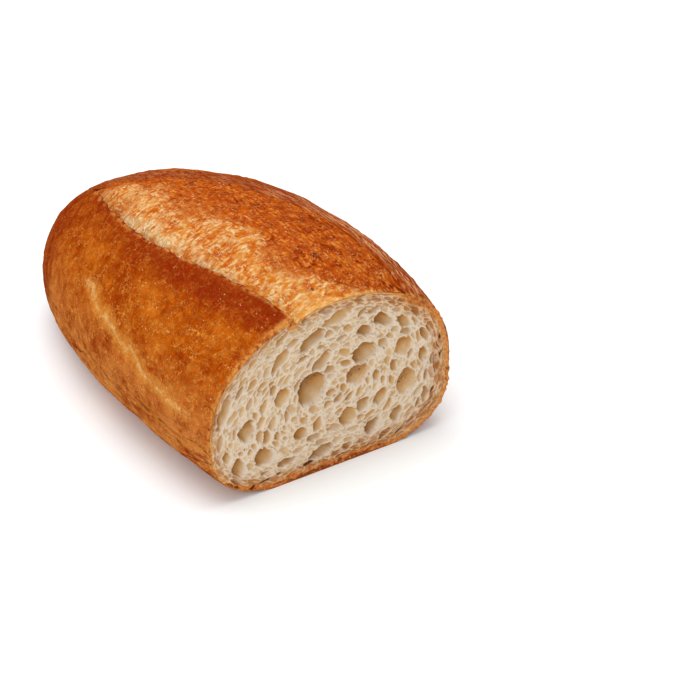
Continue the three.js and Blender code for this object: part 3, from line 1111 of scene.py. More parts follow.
    def pitted(self, points: Array) -> Array:
        """The depth of the small pits at each point."""
        cells = self.pits()
        ovals = Ovals(cells)
        depth = np.empty(len(points))
        for start in range(0, len(points), BATCH):
            share = ovals.away(points[start:start + BATCH]) / cells[:, 2]
            depth[start:start + BATCH] = (cells[:, 5] * np.maximum(0, 1 - share ** 2)).max(1)
        return depth

    def slits(self, points: Array) -> Array:
        """The depth of the flat gaps in the crust at each point."""
        depth = np.zeros(len(points))
        ragged = strayed(points, (65, 66), 1.8 * MM, 0.25, in_space(points))
        for slit in CRUST_SLITS:
            lean = math.radians(slit.lean)
            away = ragged / MM - (slit.across, slit.up)
            along = (away @ (math.cos(lean), math.sin(lean))) / slit.long
            aside = (away @ (-math.sin(lean), math.cos(lean))) / slit.short
            depth = np.maximum(depth, slit.deep * MM * (1 - ease(np.hypot(along, aside), 0.6, 1.1)))
        return depth

    def by_direction(self, points: Array, table: dict[int, float]) -> Array:
        """Reads a table of values by direction, in degrees from +y, at each point."""
        angle = np.degrees(bearing(points - self.form.heart))
        return np.interp(angle, list(table), list(table.values()))

    def layers(self, points: Array, gap: Array) -> Array:
        """Thin ridges that run along the crust, strongest near it, from about -1 to 1."""
        ridges = Grain(67).layered(self.unrolled(points, gap), (1.0, 9 * MM, 1.3 * MM), 2)
        return ridges * np.exp(-gap / (8 * MM))

    def unrolled(self, points: Array, gap: Array) -> Array:
        """Each point by its way round the face and its gap to the crust, for noise drawn out along it."""
        return in_space(np.column_stack([bearing(points - self.form.heart) * 45 * MM, gap]))

    def strata(self, points: Array, gap: Array) -> Array:
        """Streaks drawn out along the crust, from about -1 to 1."""
        return Grain(68).layered(self.unrolled(points, gap), (1.0, 4.5 * MM, 1.1 * MM), 3)

    def gridded(self, board: Array, depth: Array) -> tuple[Array, Array, Array]:
        """Sorts the depths into a grid, with the column and row of each point."""
        half = np.array([self.columns, self.rows]) / 2
        column, row = np.rint((board + 1) * half).astype(int).T
        grid = np.zeros((self.columns + 1, self.rows + 1))
        grid[column, row] = depth
        return column, row, grid

    def smoothed(self, board: Array, depth: Array) -> Array:
        """Rounds the walls of the deep holes, so that they don't follow the mesh in steps."""
        column, row, grid = self.gridded(board, depth)
        around = averaged(grid, 1)
        part = 0.2 + 0.6 * ease(around, 0.7 * MM, 1.8 * MM)
        return (grid + (around - grid) * part)[column, row]

    def cavity_shade(self, board: Array, depth: Array) -> Array:
        """Painted shade for the crumb's colour: how far each point is sunk among its neighbours, from about
        -1 on a ridge to 1 in a pit.

        Args:
            board: The square grid that the face was laid out from, N by 2, from -1 to 1.
            depth: How deep each point lies.

        Returns:
            One value for each point. It counts neighbours above and to the -y side the most, so that the
            painted shade falls darkest just under the upper rims.
        """
        column, row, grid = self.gridded(board, depth)
        sunk = np.zeros(grid.shape)
        for reach, step, scale, share in ((1, 1, 0.14, 0.3), (3, 2, 0.4, 0.45), (9, 5, 1.5, 0.55)):
            around = averaged(grid, reach)
            above = np.roll(around, (step, -step), (0, 1))
            sunk += share * np.tanh((grid - 0.4 * around - 0.6 * above) / (scale * MM))
        return sunk[column, row]

    def foam(self, points: Array) -> tuple[Array, Array, Array, Array, Array]:
        """Cuts the bubbles open.

        Args:
            points: N by 2 on the face.

        Returns:
            For each point, its depth behind the knife's plane, how far it is from its bubble's rim to its
            middle, how speckled and painted-shaded its sheltered side is, and how much painted shade it
            takes, from 0 to 1, and how far in metres it lies inside its bubble's rim.
        """
        cells = self.bubbles()
        LOG.info("crumb: %d bubbles", len(cells))
        space = in_space(points)
        bent = strayed(points, (63, 64), 5 * MM, 0.8, space)
        ragged = strayed(bent, (61, 62), 1.8 * MM, 0.2, space)
        ovals = Ovals(cells)
        way, side, root = ovals.way, ovals.side, ovals.root
        # the sheltered side of each bubble, up and towards -y, where its painted shade falls darkest
        sheltered = np.column_stack([way @ (-0.55, 0.84) / root, side @ (-0.55, 0.84) * root])
        sheltered /= np.linalg.norm(sheltered, axis=1, keepdims=True)
        calm = np.clip(0.62 + 0.75 * Grain(69).layered(space, 13 * MM, 2), 0.1, 1.15)
        result = np.empty((5, len(points)))
        for start in range(0, len(points), BATCH):
            batch = slice(start, start + BATCH)
            far = ovals.away(ragged[batch]) - cells[:, 2]
            two = np.argpartition(far, 1, axis=1)[:, :2]
            values = np.take_along_axis(far, two, 1)
            first = np.where(values[:, 0] <= values[:, 1], two[:, 0], two[:, 1])
            nearest, second = values.min(1), values.max(1)
            wall = (second - nearest) / 2
            radius = cells[first, 2]
            away = bent[batch] - cells[first, :2]
            place = np.column_stack([(away * way[first]).sum(1) / root[first],
                                     (away * side[first]).sum(1) * root[first]])
            at_rim = ease(nearest, -0.4 * radius, -0.1 * radius)
            out = (nearest + radius) * at_rim + np.hypot(*place.T) * (1 - at_rim)
            small = 0.7 * (1 - ease(radius, 1.6 * MM, 3.0 * MM))
            reach = small * (out + wall) + (1 - small) * 1.02 * radius + 1e-9
            share = np.clip(out / reach, 0, 1)
            steep = np.interp(radius, (0.8 * MM, 3.0 * MM), (0.9, 0.65))
            bowl = (1 - share ** 2.4) ** steep * ease(wall, 0, 0.42 * MM)
            inside = np.clip(np.minimum(reach - out, wall), 0, 1)
            lee = np.clip((place * sheltered[first]).sum(1) / radius, -1, 1)
            # painted shade: each bubble's darkness, deepest on its sheltered side under the upper rim
            dark = cells[first, 7] * ease(inside, 0, 0.85 * MM) * (0.62 + 0.5 * lee / root[first])
            faint = 1 - 1.2 * small * (1 - calm[batch])
            dark *= faint
            depth = cells[first, 5] * bowl * (1 + 0.3 * lee) * faint
            # dark specks with painted shade around them, on the sheltered side of large holes
            specks = cells[first, 6] * bowl * np.exp(-(((lee - 0.3) / 0.35) ** 2))
            result[:, batch] = depth, bowl, specks, dark, inside
        return tuple(result)

    def tan(self, points: Array, gap: Array) -> Array:
        """How far the crust's browning reaches into the crumb, most at the +y side and the base."""
        angle = bearing(points - self.form.heart)
        reach = 7.5 + 4.0 * np.maximum(0, np.cos(angle)) + 2.0 * np.maximum(0, -np.sin(angle))
        strength = 0.55 + 0.45 * np.maximum(0, np.cos(angle - 0.1)) + 0.3 * np.maximum(0, -np.sin(angle))
        return np.clip(strength, 0, 1) * (1 - ease(gap / MM, 0, reach))

    def build(self, material: bpy.types.Material) -> bpy.types.Object:
        """Makes the cut face and the block of crumb behind its edge.

        Args:
            material: The crumb's finish.

        Returns:
            The piece.
        """
        bm = bmesh.new()
        bmesh.ops.create_grid(bm, x_segments=self.columns, y_segments=self.rows, size=1)
        close_below(bm)
        mesh = finished_mesh(bm, "crumb")
        board = vertex_array(mesh)
        flat = self.spread(board[:, :2])
        back = board[:, 2] < -0.5
        gap = self.rim_gap(flat)
        depth, hollow, specks, dark, inside = self.foam(flat)
        depth[~back] = self.smoothed(board[~back, :2], depth[~back])
        thick = self.by_direction(flat, CRUST_THICKNESS) * MM
        solid = 0.6 + 0.4 * ease(gap, 0.7 * thick, 1.4 * thick)
        solid *= ease(gap, 0.2 * MM, 0.7 * MM)
        depth *= solid
        space = in_space(flat)
        depth += solid * hollow * 0.2 * MM * Grain(74).at(space, 2.4 * MM)
        pores = self.pitted(flat) * (1 - 0.9 * ease(hollow, 0.1, 0.5)) * ease(gap, 0.2 * MM, 0.7 * MM)
        depth += pores
        slits = self.slits(flat)
        rough = 0.25 * Grain(71).at(space, 14 * MM) + 0.3 * Grain(75).at(space, 5 * MM)
        rough += 0.05 * Grain(72).at(space, 1.3 * MM) + 0.3 * self.layers(flat, gap)
        edge = ease(gap, 0, 1.2 * MM)
        x = self.plane - np.maximum(depth, slits * edge) + np.minimum(0, rough - 0.25) * MM * edge
        x[back] = -self.skirt
        inner = self.form.heart + (flat - self.form.heart) * 0.95
        flat[back] = inner[back]
        points = np.column_stack([x, flat])
        move_vertices(mesh, self.form.place(points))
        write_attribute(mesh, "rim", gap / thick)
        write_attribute(mesh, "hollow", hollow * solid)
        write_attribute(mesh, "slit", slits / MM)
        # dark specks and painted shade on the sheltered side of large holes
        write_attribute(mesh, "specks", specks)
        # painted shade in the bubbles
        write_attribute(mesh, "dark", dark * solid)
        write_attribute(mesh, "inside", inside / MM)
        # painted shade in the small pits
        write_attribute(mesh, "pore_shade", np.clip(pores / (0.5 * MM), 0, 1))
        write_attribute(mesh, "strata", self.strata(flat, gap))
        cavity_shade = np.zeros(len(flat))
        # painted shade: darker in pits and just under the upper and -y rims
        cavity_shade[~back] = self.cavity_shade(board[~back, :2], -x[~back])
        write_attribute(mesh, "cavity_shade", cavity_shade)
        write_attribute(mesh, "tan", self.tan(flat, gap))
        write_attribute(mesh, "burnt", self.by_direction(flat, CRUST_DARKNESS))
        cut = Section(self.form, 0.0)
        from_tip = np.linalg.norm(flat - cut.at(np.array([cut.ear]), 0.0)[0], axis=1)
        write_attribute(mesh, "tip", np.exp(-((from_tip / (3.2 * MM)) ** 2)))
        return make_piece("crumb", mesh, material)


# ---------------------------------------------------------------- finishes


class Signal:
    """A shader socket that Python arithmetic can be written on."""

    def __init__(self, bench: "Bench", socket: bpy.types.NodeSocket) -> None:
        """Wraps a socket of a bench's node tree."""
        self.bench = bench
        self.socket = socket

    def _math(self, operation: str, first: Any, second: Any) -> "Signal":
        """Adds a Math node."""
        return self.bench.add("ShaderNodeMath", {"operation": operation}, {0: first, 1: second})

    def __add__(self, other: Any) -> "Signal":
        """self + other."""
        return self._math("ADD", self, other)

    def __radd__(self, other: Any) -> "Signal":
        """other + self."""
        return self._math("ADD", other, self)

    def __sub__(self, other: Any) -> "Signal":
        """self - other."""
        return self._math("SUBTRACT", self, other)

    def __rsub__(self, other: Any) -> "Signal":
        """other - self."""
        return self._math("SUBTRACT", other, self)

    def __mul__(self, other: Any) -> "Signal":
        """self * other."""
        return self._math("MULTIPLY", self, other)

    def __rmul__(self, other: Any) -> "Signal":
        """other * self."""
        return self._math("MULTIPLY", other, self)

    def __abs__(self) -> "Signal":
        """The size of self without its sign."""
        return self.bench.add("ShaderNodeMath", {"operation": "ABSOLUTE"}, {0: self})

    def rises(self, low: float, high: float) -> "Signal":
        """Goes smoothly from 0 at low to 1 at high, or down where high is the lower."""
        return self.bench.add("ShaderNodeMapRange", {"interpolation_type": "SMOOTHSTEP"},
                              {"Value": self, "From Min": low, "From Max": high})


class Mode(Enum):
    """How one colour is laid over another."""

    OVER = "MIX"
    DARKEN = "MULTIPLY"
    LIGHTEN = "SCREEN"


class Bench:
    """The node tree of one material."""

    def __init__(self, name: str) -> None:
        """Starts a material with nothing but its output.

        Args:
            name: The material's name.
        """
        self.material = bpy.data.materials.new(name)
        self.material.use_nodes = True
        self.tree = self.material.node_tree
        self.tree.nodes.clear()
        self.output = self.tree.nodes.new("ShaderNodeOutputMaterial")

    def add(self, kind: str, settings: dict[str, Any], inputs: dict[Any, Any],
            output: int | str = 0) -> Signal:
        """Adds a node.

        Args:
            kind: Its type.
            settings: Properties set before its sockets are; "stops" fills a colour ramp.
            inputs: Values or signals by socket name or number.
            output: The socket that is handed back.

        Returns:
            That socket.
        """
        node = self.tree.nodes.new(kind)
        for key, value in settings.items():
            if key == "stops":
                self._fill_ramp(node.color_ramp, value)
            else:
                setattr(node, key, value)
        for key, value in inputs.items():
            if isinstance(value, Signal):
                self.tree.links.new(value.socket, node.inputs[key])
            else:
                node.inputs[key].default_value = value
        return Signal(self, node.outputs[output])

    @staticmethod
    def _fill_ramp(ramp: bpy.types.ColorRamp, stops: Sequence[tuple[float, Colour]]) -> None:
        """Gives a colour ramp its stops."""
        while len(ramp.elements) < len(stops):
            ramp.elements.new(1.0)
        for element, (place, colour) in zip(ramp.elements, stops):
            element.position = place
            element.color = colour

    def place(self, stretch: Sequence[float] = (1, 1, 1)) -> Signal:
        """Object coordinates in metres, divided by stretch along each axis."""
        spot = self.add("ShaderNodeTexCoord", {}, {}, "Object")
        if tuple(stretch) == (1, 1, 1):
            return spot
        scale = tuple(1 / part for part in stretch)
        return self.add("ShaderNodeMapping", {}, {"Vector": spot, "Scale": scale})

    def noise(self, spot: Signal, size: float, detail: float = 2.0, rough: float = 0.5) -> Signal:
        """Cloudy noise from 0 to 1 with lumps of about the given size in metres."""
        return self.add("ShaderNodeTexNoise", {},
                        {"Vector": spot, "Scale": 1 / size, "Detail": detail, "Roughness": rough})

    def warped(self, spot: Signal, size: float, amount: float) -> Signal:
        """Moves coordinates about by noise of a size, by up to an amount in metres."""
        push = self.add("ShaderNodeTexNoise", {}, {"Vector": spot, "Scale": 1 / size, "Detail": 2.0}, "Color")
        centred = self.add("ShaderNodeVectorMath", {"operation": "SUBTRACT"}, {0: push, 1: (0.5, 0.5, 0.5)})
        return self.add("ShaderNodeVectorMath", {"operation": "MULTIPLY_ADD"},
                        {0: centred, 1: (2 * amount, 2 * amount, 2 * amount), 2: spot})

    def veins(self, spot: Signal, size: float, thin: float) -> Signal:
        """1 on the lines between cells of a size, falling to 0 within a part of that size."""
        gap = self.add("ShaderNodeTexVoronoi", {"feature": "DISTANCE_TO_EDGE"},
                       {"Vector": spot, "Scale": 1 / size})
        return gap.rises(thin, 0.0)

    def strands(self, spot: Signal, size: float, thin: float) -> Signal:
        """1 on curling lines that follow one level of a noise, falling to 0 within thin of that level."""
        level = self.noise(spot, size, 1.0) - 0.5
        return abs(level).rises(thin, 0.0)

    def curls(self, spot: Signal, size: float, turns: float) -> Signal:
        """Curling ridges from 0 to 1 that follow the levels of a noise, some turns to its full range."""
        wave = self.noise(spot, size, 0.0) * (4 * math.pi * turns)
        return self.add("ShaderNodeMath", {"operation": "SINE"}, {0: wave}) * 0.5 + 0.5

    def fibres(self, spot: Signal, size: float) -> Signal:
        """Packed fibres, 1 along their middles and 0 between, drawn out as the coordinates are."""
        gap = self.add("ShaderNodeTexVoronoi", {"feature": "F1"}, {"Vector": spot, "Scale": 1 / size})
        return gap.rises(0.75, 0.05)

    def dots(self, spot: Signal, size: float, radius: float) -> Signal:
        """1 at scattered specks, one to a cell of a size, falling to 0 at a radius given as a part of it."""
        gap = self.add("ShaderNodeTexVoronoi", {"feature": "F1"}, {"Vector": spot, "Scale": 1 / size})
        return gap.rises(radius, 0.0)

    def stored(self, name: str) -> Signal:
        """A number stored on the vertices."""
        return self.add("ShaderNodeAttribute", {"attribute_name": name}, {}, "Fac")

    def blend(self, part: Any, under: Any, over: Any, mode: Mode = Mode.OVER) -> Signal:
        """Lays one colour over another by a part from 0 to 1."""
        return self.add("ShaderNodeMix", {"data_type": "RGBA", "blend_type": mode.value},
                        {0: part, 6: under, 7: over}, 2)

    def ramp(self, value: Signal, stops: Sequence[tuple[float, Colour]]) -> Signal:
        """Turns a number into a colour."""
        return self.add("ShaderNodeValToRGB", {"stops": stops}, {0: value})

    def bump(self, height: Signal, distance: float, strength: float) -> Signal:
        """A normal that follows a height, with its full depth given in metres."""
        return self.add("ShaderNodeBump", {}, {"Height": height, "Distance": distance, "Strength": strength})

    def surface(self, sockets: dict[str, Any]) -> bpy.types.Material:
        """Ends the tree in a Principled shader with these sockets, and hands over the material."""
        shader = self.add("ShaderNodeBsdfPrincipled", {}, sockets)
        self.tree.links.new(shader.socket, self.output.inputs["Surface"])
        return self.material


@dataclass(frozen=True)
class BakedSkin:
    """Orange-brown skin with curling golden veins, pale specks that carry painted glints, painted shade
    towards the heel and a painted sheen on the strip beyond the slash's lip.
    """

    dark: Colour = tone(142, 42, 0)
    middle: Colour = tone(168, 71, 2)
    light: Colour = tone(192, 98, 18)
    paler: Colour = tone(216, 140, 78)
    scorched_and_shaded: Colour = tone(132, 32, 8)
    # pale pink strands with a painted sheen
    pink_strands_and_sheen: Colour = tone(238, 166, 116)
    golden: Colour = tone(216, 142, 58)
    streak: Colour = tone(246, 208, 140)
    vein: Colour = tone(218, 142, 60)
    ember: Colour = tone(214, 112, 34)
    edge: Colour = tone(226, 150, 74)
    crack: Colour = tone(118, 38, 4)
    # pale blisters with painted glints on them
    speck: Colour = tone(250, 220, 168)

    def make(self) -> bpy.types.Material:
        """Builds the material."""
        bench = Bench("baked skin")
        spot = bench.place()
        swirled = bench.warped(spot, 6 * MM, 2.2 * MM)
        curly = bench.warped(spot, 2.6 * MM, 1.3 * MM)
        cloud = bench.noise(swirled, 15 * MM, 4.0, 0.6)
        mottle = bench.noise(curly, 3.4 * MM, 3.0, 0.6)
        shade = cloud * 0.6 + mottle * 0.4
        colour = bench.ramp(shade, [(0.38, self.dark), (0.5, self.middle), (0.62, self.light)])
        colour = bench.blend(bench.stored("low") * shade.rises(0.35, 0.6) * 0.62, colour, self.paler)
        # darker where the skin baked darker, and painted shade towards the heel
        scorch_and_heel_shade = bench.stored("scorch_and_heel_shade")
        colour = bench.blend((scorch_and_heel_shade * 1.5 - mottle * 0.9).rises(-0.1, 0.8) * 0.85, colour, self.scorched_and_shaded)
        hairs = bench.strands(curly, 3.0 * MM, 0.03)
        wisps = bench.strands(bench.warped(spot, 1.6 * MM, 0.9 * MM), 2.2 * MM, 0.035)
        nets = bench.veins(bench.warped(spot, 3.6 * MM, 2.6 * MM), 4.6 * MM, 0.055)
        flecks = bench.fibres(bench.warped(bench.place((2.2, 1.0, 1.2)), 2.2 * MM, 1.5 * MM), 1.5 * MM)
        flecks = flecks.rises(0.45, 0.95) * bench.noise(curly, 2.6 * MM).rises(0.42, 0.6)
        curls = bench.strands(bench.warped(spot, 2.2 * MM, 1.6 * MM), 1.5 * MM, 0.045)
        curls = curls * bench.noise(curly, 2.0 * MM).rises(0.44, 0.58)
        lines = hairs * 0.8 + wisps * 0.65 + nets * 0.45 + flecks * 0.4 + curls * 0.3
        off = bench.stored("off_streak") + (bench.noise(spot, 7 * MM, 3.0) - 0.5) * 9
        off = abs(off)
        streaked = bench.stored("streaked")
        near = off.rises(7.5, 0.5) * streaked
        colour = bench.blend((near * 1.3 + mottle * 0.9 - 0.7).rises(0.0, 1.0) * 0.5, colour, self.golden)
        core = off.rises(1.9, 0.1) * bench.noise(curly, 4 * MM).rises(0.34, 0.5) * streaked.rises(0.2, 0.8)
        colour = bench.blend(core * (hairs * 1.2 + wisps * 1.2 + mottle * 0.8), colour, self.streak)
        mask = bench.noise(spot, 5 * MM, 2.0).rises(0.38, 0.6) * 0.7 + near * 0.6 + 0.3
        thread = bench.blend(scorch_and_heel_shade * 0.7, self.vein, self.ember)
        colour = bench.blend(lines * mask * (1 - scorch_and_heel_shade * 0.6), colour, thread)
        torn = bench.stored("torn") * (bench.curls(curly, 4.0 * MM, 2.2) * 0.6 + flecks * 0.8)
        colour = bench.blend(torn * 0.45, colour, self.golden)
        streaky = bench.stored("streaky")
        drawn = bench.warped(bench.place((6, 1.2, 1)), 4 * MM, 1.1 * MM)
        folds = bench.noise(drawn, 2.4 * MM, 3.0, 0.6)
        cracks = bench.veins(drawn, 7 * MM, 0.03) * bench.noise(drawn, 8 * MM).rises(0.46, 0.54) * streaky
        beyond = bench.stored("beyond")
        colour = bench.blend(streaky * folds.rises(0.48, 0.65) * 0.35, colour, self.golden)
        fine = bench.noise(bench.warped(bench.place((7, 1, 1)), 3 * MM, 0.8 * MM), 1.3 * MM, 2.0, 0.6)
        # pale pink strands and a painted sheen on the strip beyond the lip
        colour = bench.blend(beyond * fine.rises(0.4, 0.62) * 0.85, colour, self.pink_strands_and_sheen)
        colour = bench.blend(streaky * folds.rises(0.47, 0.34) * 0.55, colour, self.scorched_and_shaded)
        colour = bench.blend(bench.stored("lip") * folds.rises(0.7, 0.4), colour, self.middle)
        colour = bench.blend(bench.stored("lip") * folds.rises(0.54, 0.4) * 0.6, colour, self.scorched_and_shaded)
        colour = bench.blend(cracks * 0.35, colour, self.crack)
        gash = bench.stored("split") + mottle * 0.8 - 0.4
        colour = bench.blend(gash.rises(2.2, 1.2) * 0.35, colour, self.golden)
        colour = bench.blend(gash.rises(1.0, 0.4) * 0.75, colour, self.crack)
        edge = bench.stored("edge") * mottle.rises(0.3, 0.55)
        colour = bench.blend(edge * 0.85, colour, self.edge)
        colour = bench.blend(bench.stored("fringe") * mottle.rises(0.42, 0.6) * 0.7, colour, self.edge)
        # pale specks: pale blisters with painted glints
        specks = bench.dots(spot, 2.0 * MM, 0.19) * bench.noise(spot, 4 * MM).rises(0.48, 0.58)
        colour = bench.blend(specks * 0.75, colour, self.speck)
        pores = bench.dots(curly, 3.1 * MM, 0.14) * bench.noise(spot, 6 * MM).rises(0.46, 0.56)
        colour = bench.blend(pores * 0.6, colour, self.crack)
        grain = bench.noise(spot, 0.8 * MM, 2.0, 0.6)
        colour = bench.blend(grain.rises(0.5, 0.2) * 0.4, colour, self.scorched_and_shaded)
        height = mottle * 0.9 + grain * (bench.stored("low") * 0.5 + 0.3) + lines * 0.4 + torn * 0.5
        height = height - pores * 0.6 - gash.rises(1.2, 0.3) * 1.2
        height = height + streaky * folds * 1.2 - cracks * 1.2
        return bench.surface({"Base Color": colour, "Roughness": 0.5, "Specular IOR Level": 0.0,
                              "Normal": bench.bump(height, 0.7 * MM, 1.0)})


@dataclass(frozen=True)
class TornSkin:
    """Matt torn crust: cream to golden strands over orange-brown hollows, browner where it is toasted, with
    painted highlights on the strands and painted shade in the hollows.
    """

    cream: Colour = tone(220, 181, 124)
    gold: Colour = tone(208, 130, 46)
    amber: Colour = tone(184, 84, 14)
    brown: Colour = tone(160, 62, 14)
    deep: Colour = tone(112, 32, 4)
    # pale strands and their painted highlight
    pale_strand_highlight: Colour = tone(230, 198, 150)
    bronze_highlight: Colour = tone(220, 146, 76)
    web: Colour = tone(232, 208, 162)
    shaded: Colour = tone(204, 164, 106)
    fresh: Colour = tone(236, 198, 134)
    freshest: Colour = tone(216, 148, 64)

    def make(self) -> bpy.types.Material:
        """Builds the material."""
        bench = Bench("torn skin")
        spot = bench.place()
        across = bench.place((1.0, 1.6, 1.3))
        curly = bench.warped(across, 2.6 * MM, 1.7 * MM)
        wool = bench.curls(curly, 3.2 * MM, 1.8)
        along = bench.fibres(bench.warped(bench.place((3.4, 1.0, 1.0)), 2.4 * MM, 0.9 * MM), 1.35 * MM)
        lying = bench.fibres(bench.warped(bench.place((1.1, 2.6, 2.2)), 2.4 * MM, 0.9 * MM), 1.35 * MM)
        pick = (bench.noise(spot, 5 * MM, 1.0) + bench.stored("toast") * 0.2).rises(0.5, 0.62)
        wool = (along * pick + lying * (1 - pick)) * 0.75 + wool * 0.25
        hairs = bench.strands(curly, 1.7 * MM, 0.03) + bench.strands(across, 1.5 * MM, 0.025) * 0.6
        cloud = bench.noise(curly, 4.5 * MM, 3.0, 0.55)
        rough = bench.noise(spot, 6 * MM, 2.0).rises(0.35, 0.6) * 0.5 + 0.5
        strand = bench.stored("curl") * 0.12 + (wool - 0.47) * 0.8
        curl = strand * rough + cloud.rises(0.3, 0.7) * 0.35 + 0.32
        # the colour follows the relief: painted light on the ridges and painted shade in the hollows, over
        # the skin's own cream to brown
        bright = bench.ramp(curl, [(0.16, self.amber), (0.42, self.gold), (0.7, self.cream),
                                   (0.9, self.pale_strand_highlight)])
        toasted = bench.ramp(curl, [(0.04, self.deep), (0.32, self.brown), (0.6, self.amber),
                                    (0.9, self.gold)])
        browning = (bench.stored("toast") + cloud * 0.9 - 0.45).rises(-0.1, 1.1)
        colour = bench.blend(browning, bright, toasted)
        sparse = bench.noise(spot, 3 * MM, 2.0).rises(0.36, 0.54)
        # painted highlights on pale strands, gold-orange where toasted
        pale_strand_highlight = bench.blend(browning.rises(0.2, 0.8) * 0.85, self.pale_strand_highlight, self.bronze_highlight)
        colour = bench.blend(hairs * sparse * 0.8, colour, pale_strand_highlight)
        fibres = bench.curls(bench.warped(bench.place((1.0, 2.6, 2.0)), 2.4 * MM, 1.2 * MM), 1.9 * MM, 1.5)
        net = bench.blend(fibres.rises(0.2, 0.8), self.shaded, self.web)
        colour = bench.blend(bench.stored("web") * cloud.rises(0.3, 0.5), colour, net)
        fresh = bench.stored("fresh") * cloud.rises(0.25, 0.5)
        colour = bench.blend(fresh * 0.75, colour, bench.blend(wool, self.freshest, self.fresh))
        # sparse strokes of painted highlight along the strands
        drawn = bench.warped(bench.place((4.0, 1.3, 1.3)), 3 * MM, 1.0 * MM)
        highlight_strokes = bench.dots(drawn, 1.9 * MM, 0.24) * bench.noise(spot, 4 * MM).rises(0.44, 0.56)
        colour = bench.blend(highlight_strokes * 0.8, colour, bench.blend(highlight_strokes.rises(0.3, 0.9), pale_strand_highlight, self.pale_strand_highlight))
        gashes = bench.dots(bench.warped(bench.place((3.4, 1.2, 1.2)), 4 * MM, 1.4 * MM), 3.4 * MM, 0.2)
        pits = bench.dots(curly, 2.6 * MM, 0.26) * bench.noise(spot, 4 * MM).rises(0.56, 0.66)
        pits = (pits * 0.25 + gashes * bench.noise(spot, 6 * MM).rises(0.56, 0.64)) * (1 - fresh)
        colour = bench.blend(pits * 0.7, colour, self.deep)
        off = bench.stored("split") + cloud * 0.8 - 0.4
        colour = bench.blend(off.rises(1.3, 0.7) * 0.85, colour, self.deep)
        grain = bench.noise(curly, 0.6 * MM, 2.0, 0.6)
        colour = bench.blend(grain.rises(0.52, 0.24) * 0.45, colour, self.amber)
        height = wool * 0.9 + hairs * 0.5 + highlight_strokes * 0.6 + grain * 0.3 - pits * 1.1
        height = height - off.rises(1.4, 0.5) * 1.5
        return bench.surface({"Base Color": colour, "Roughness": 0.5, "Specular IOR Level": 0.0,
                              "Normal": bench.bump(height, 0.28 * MM, 1.0)})


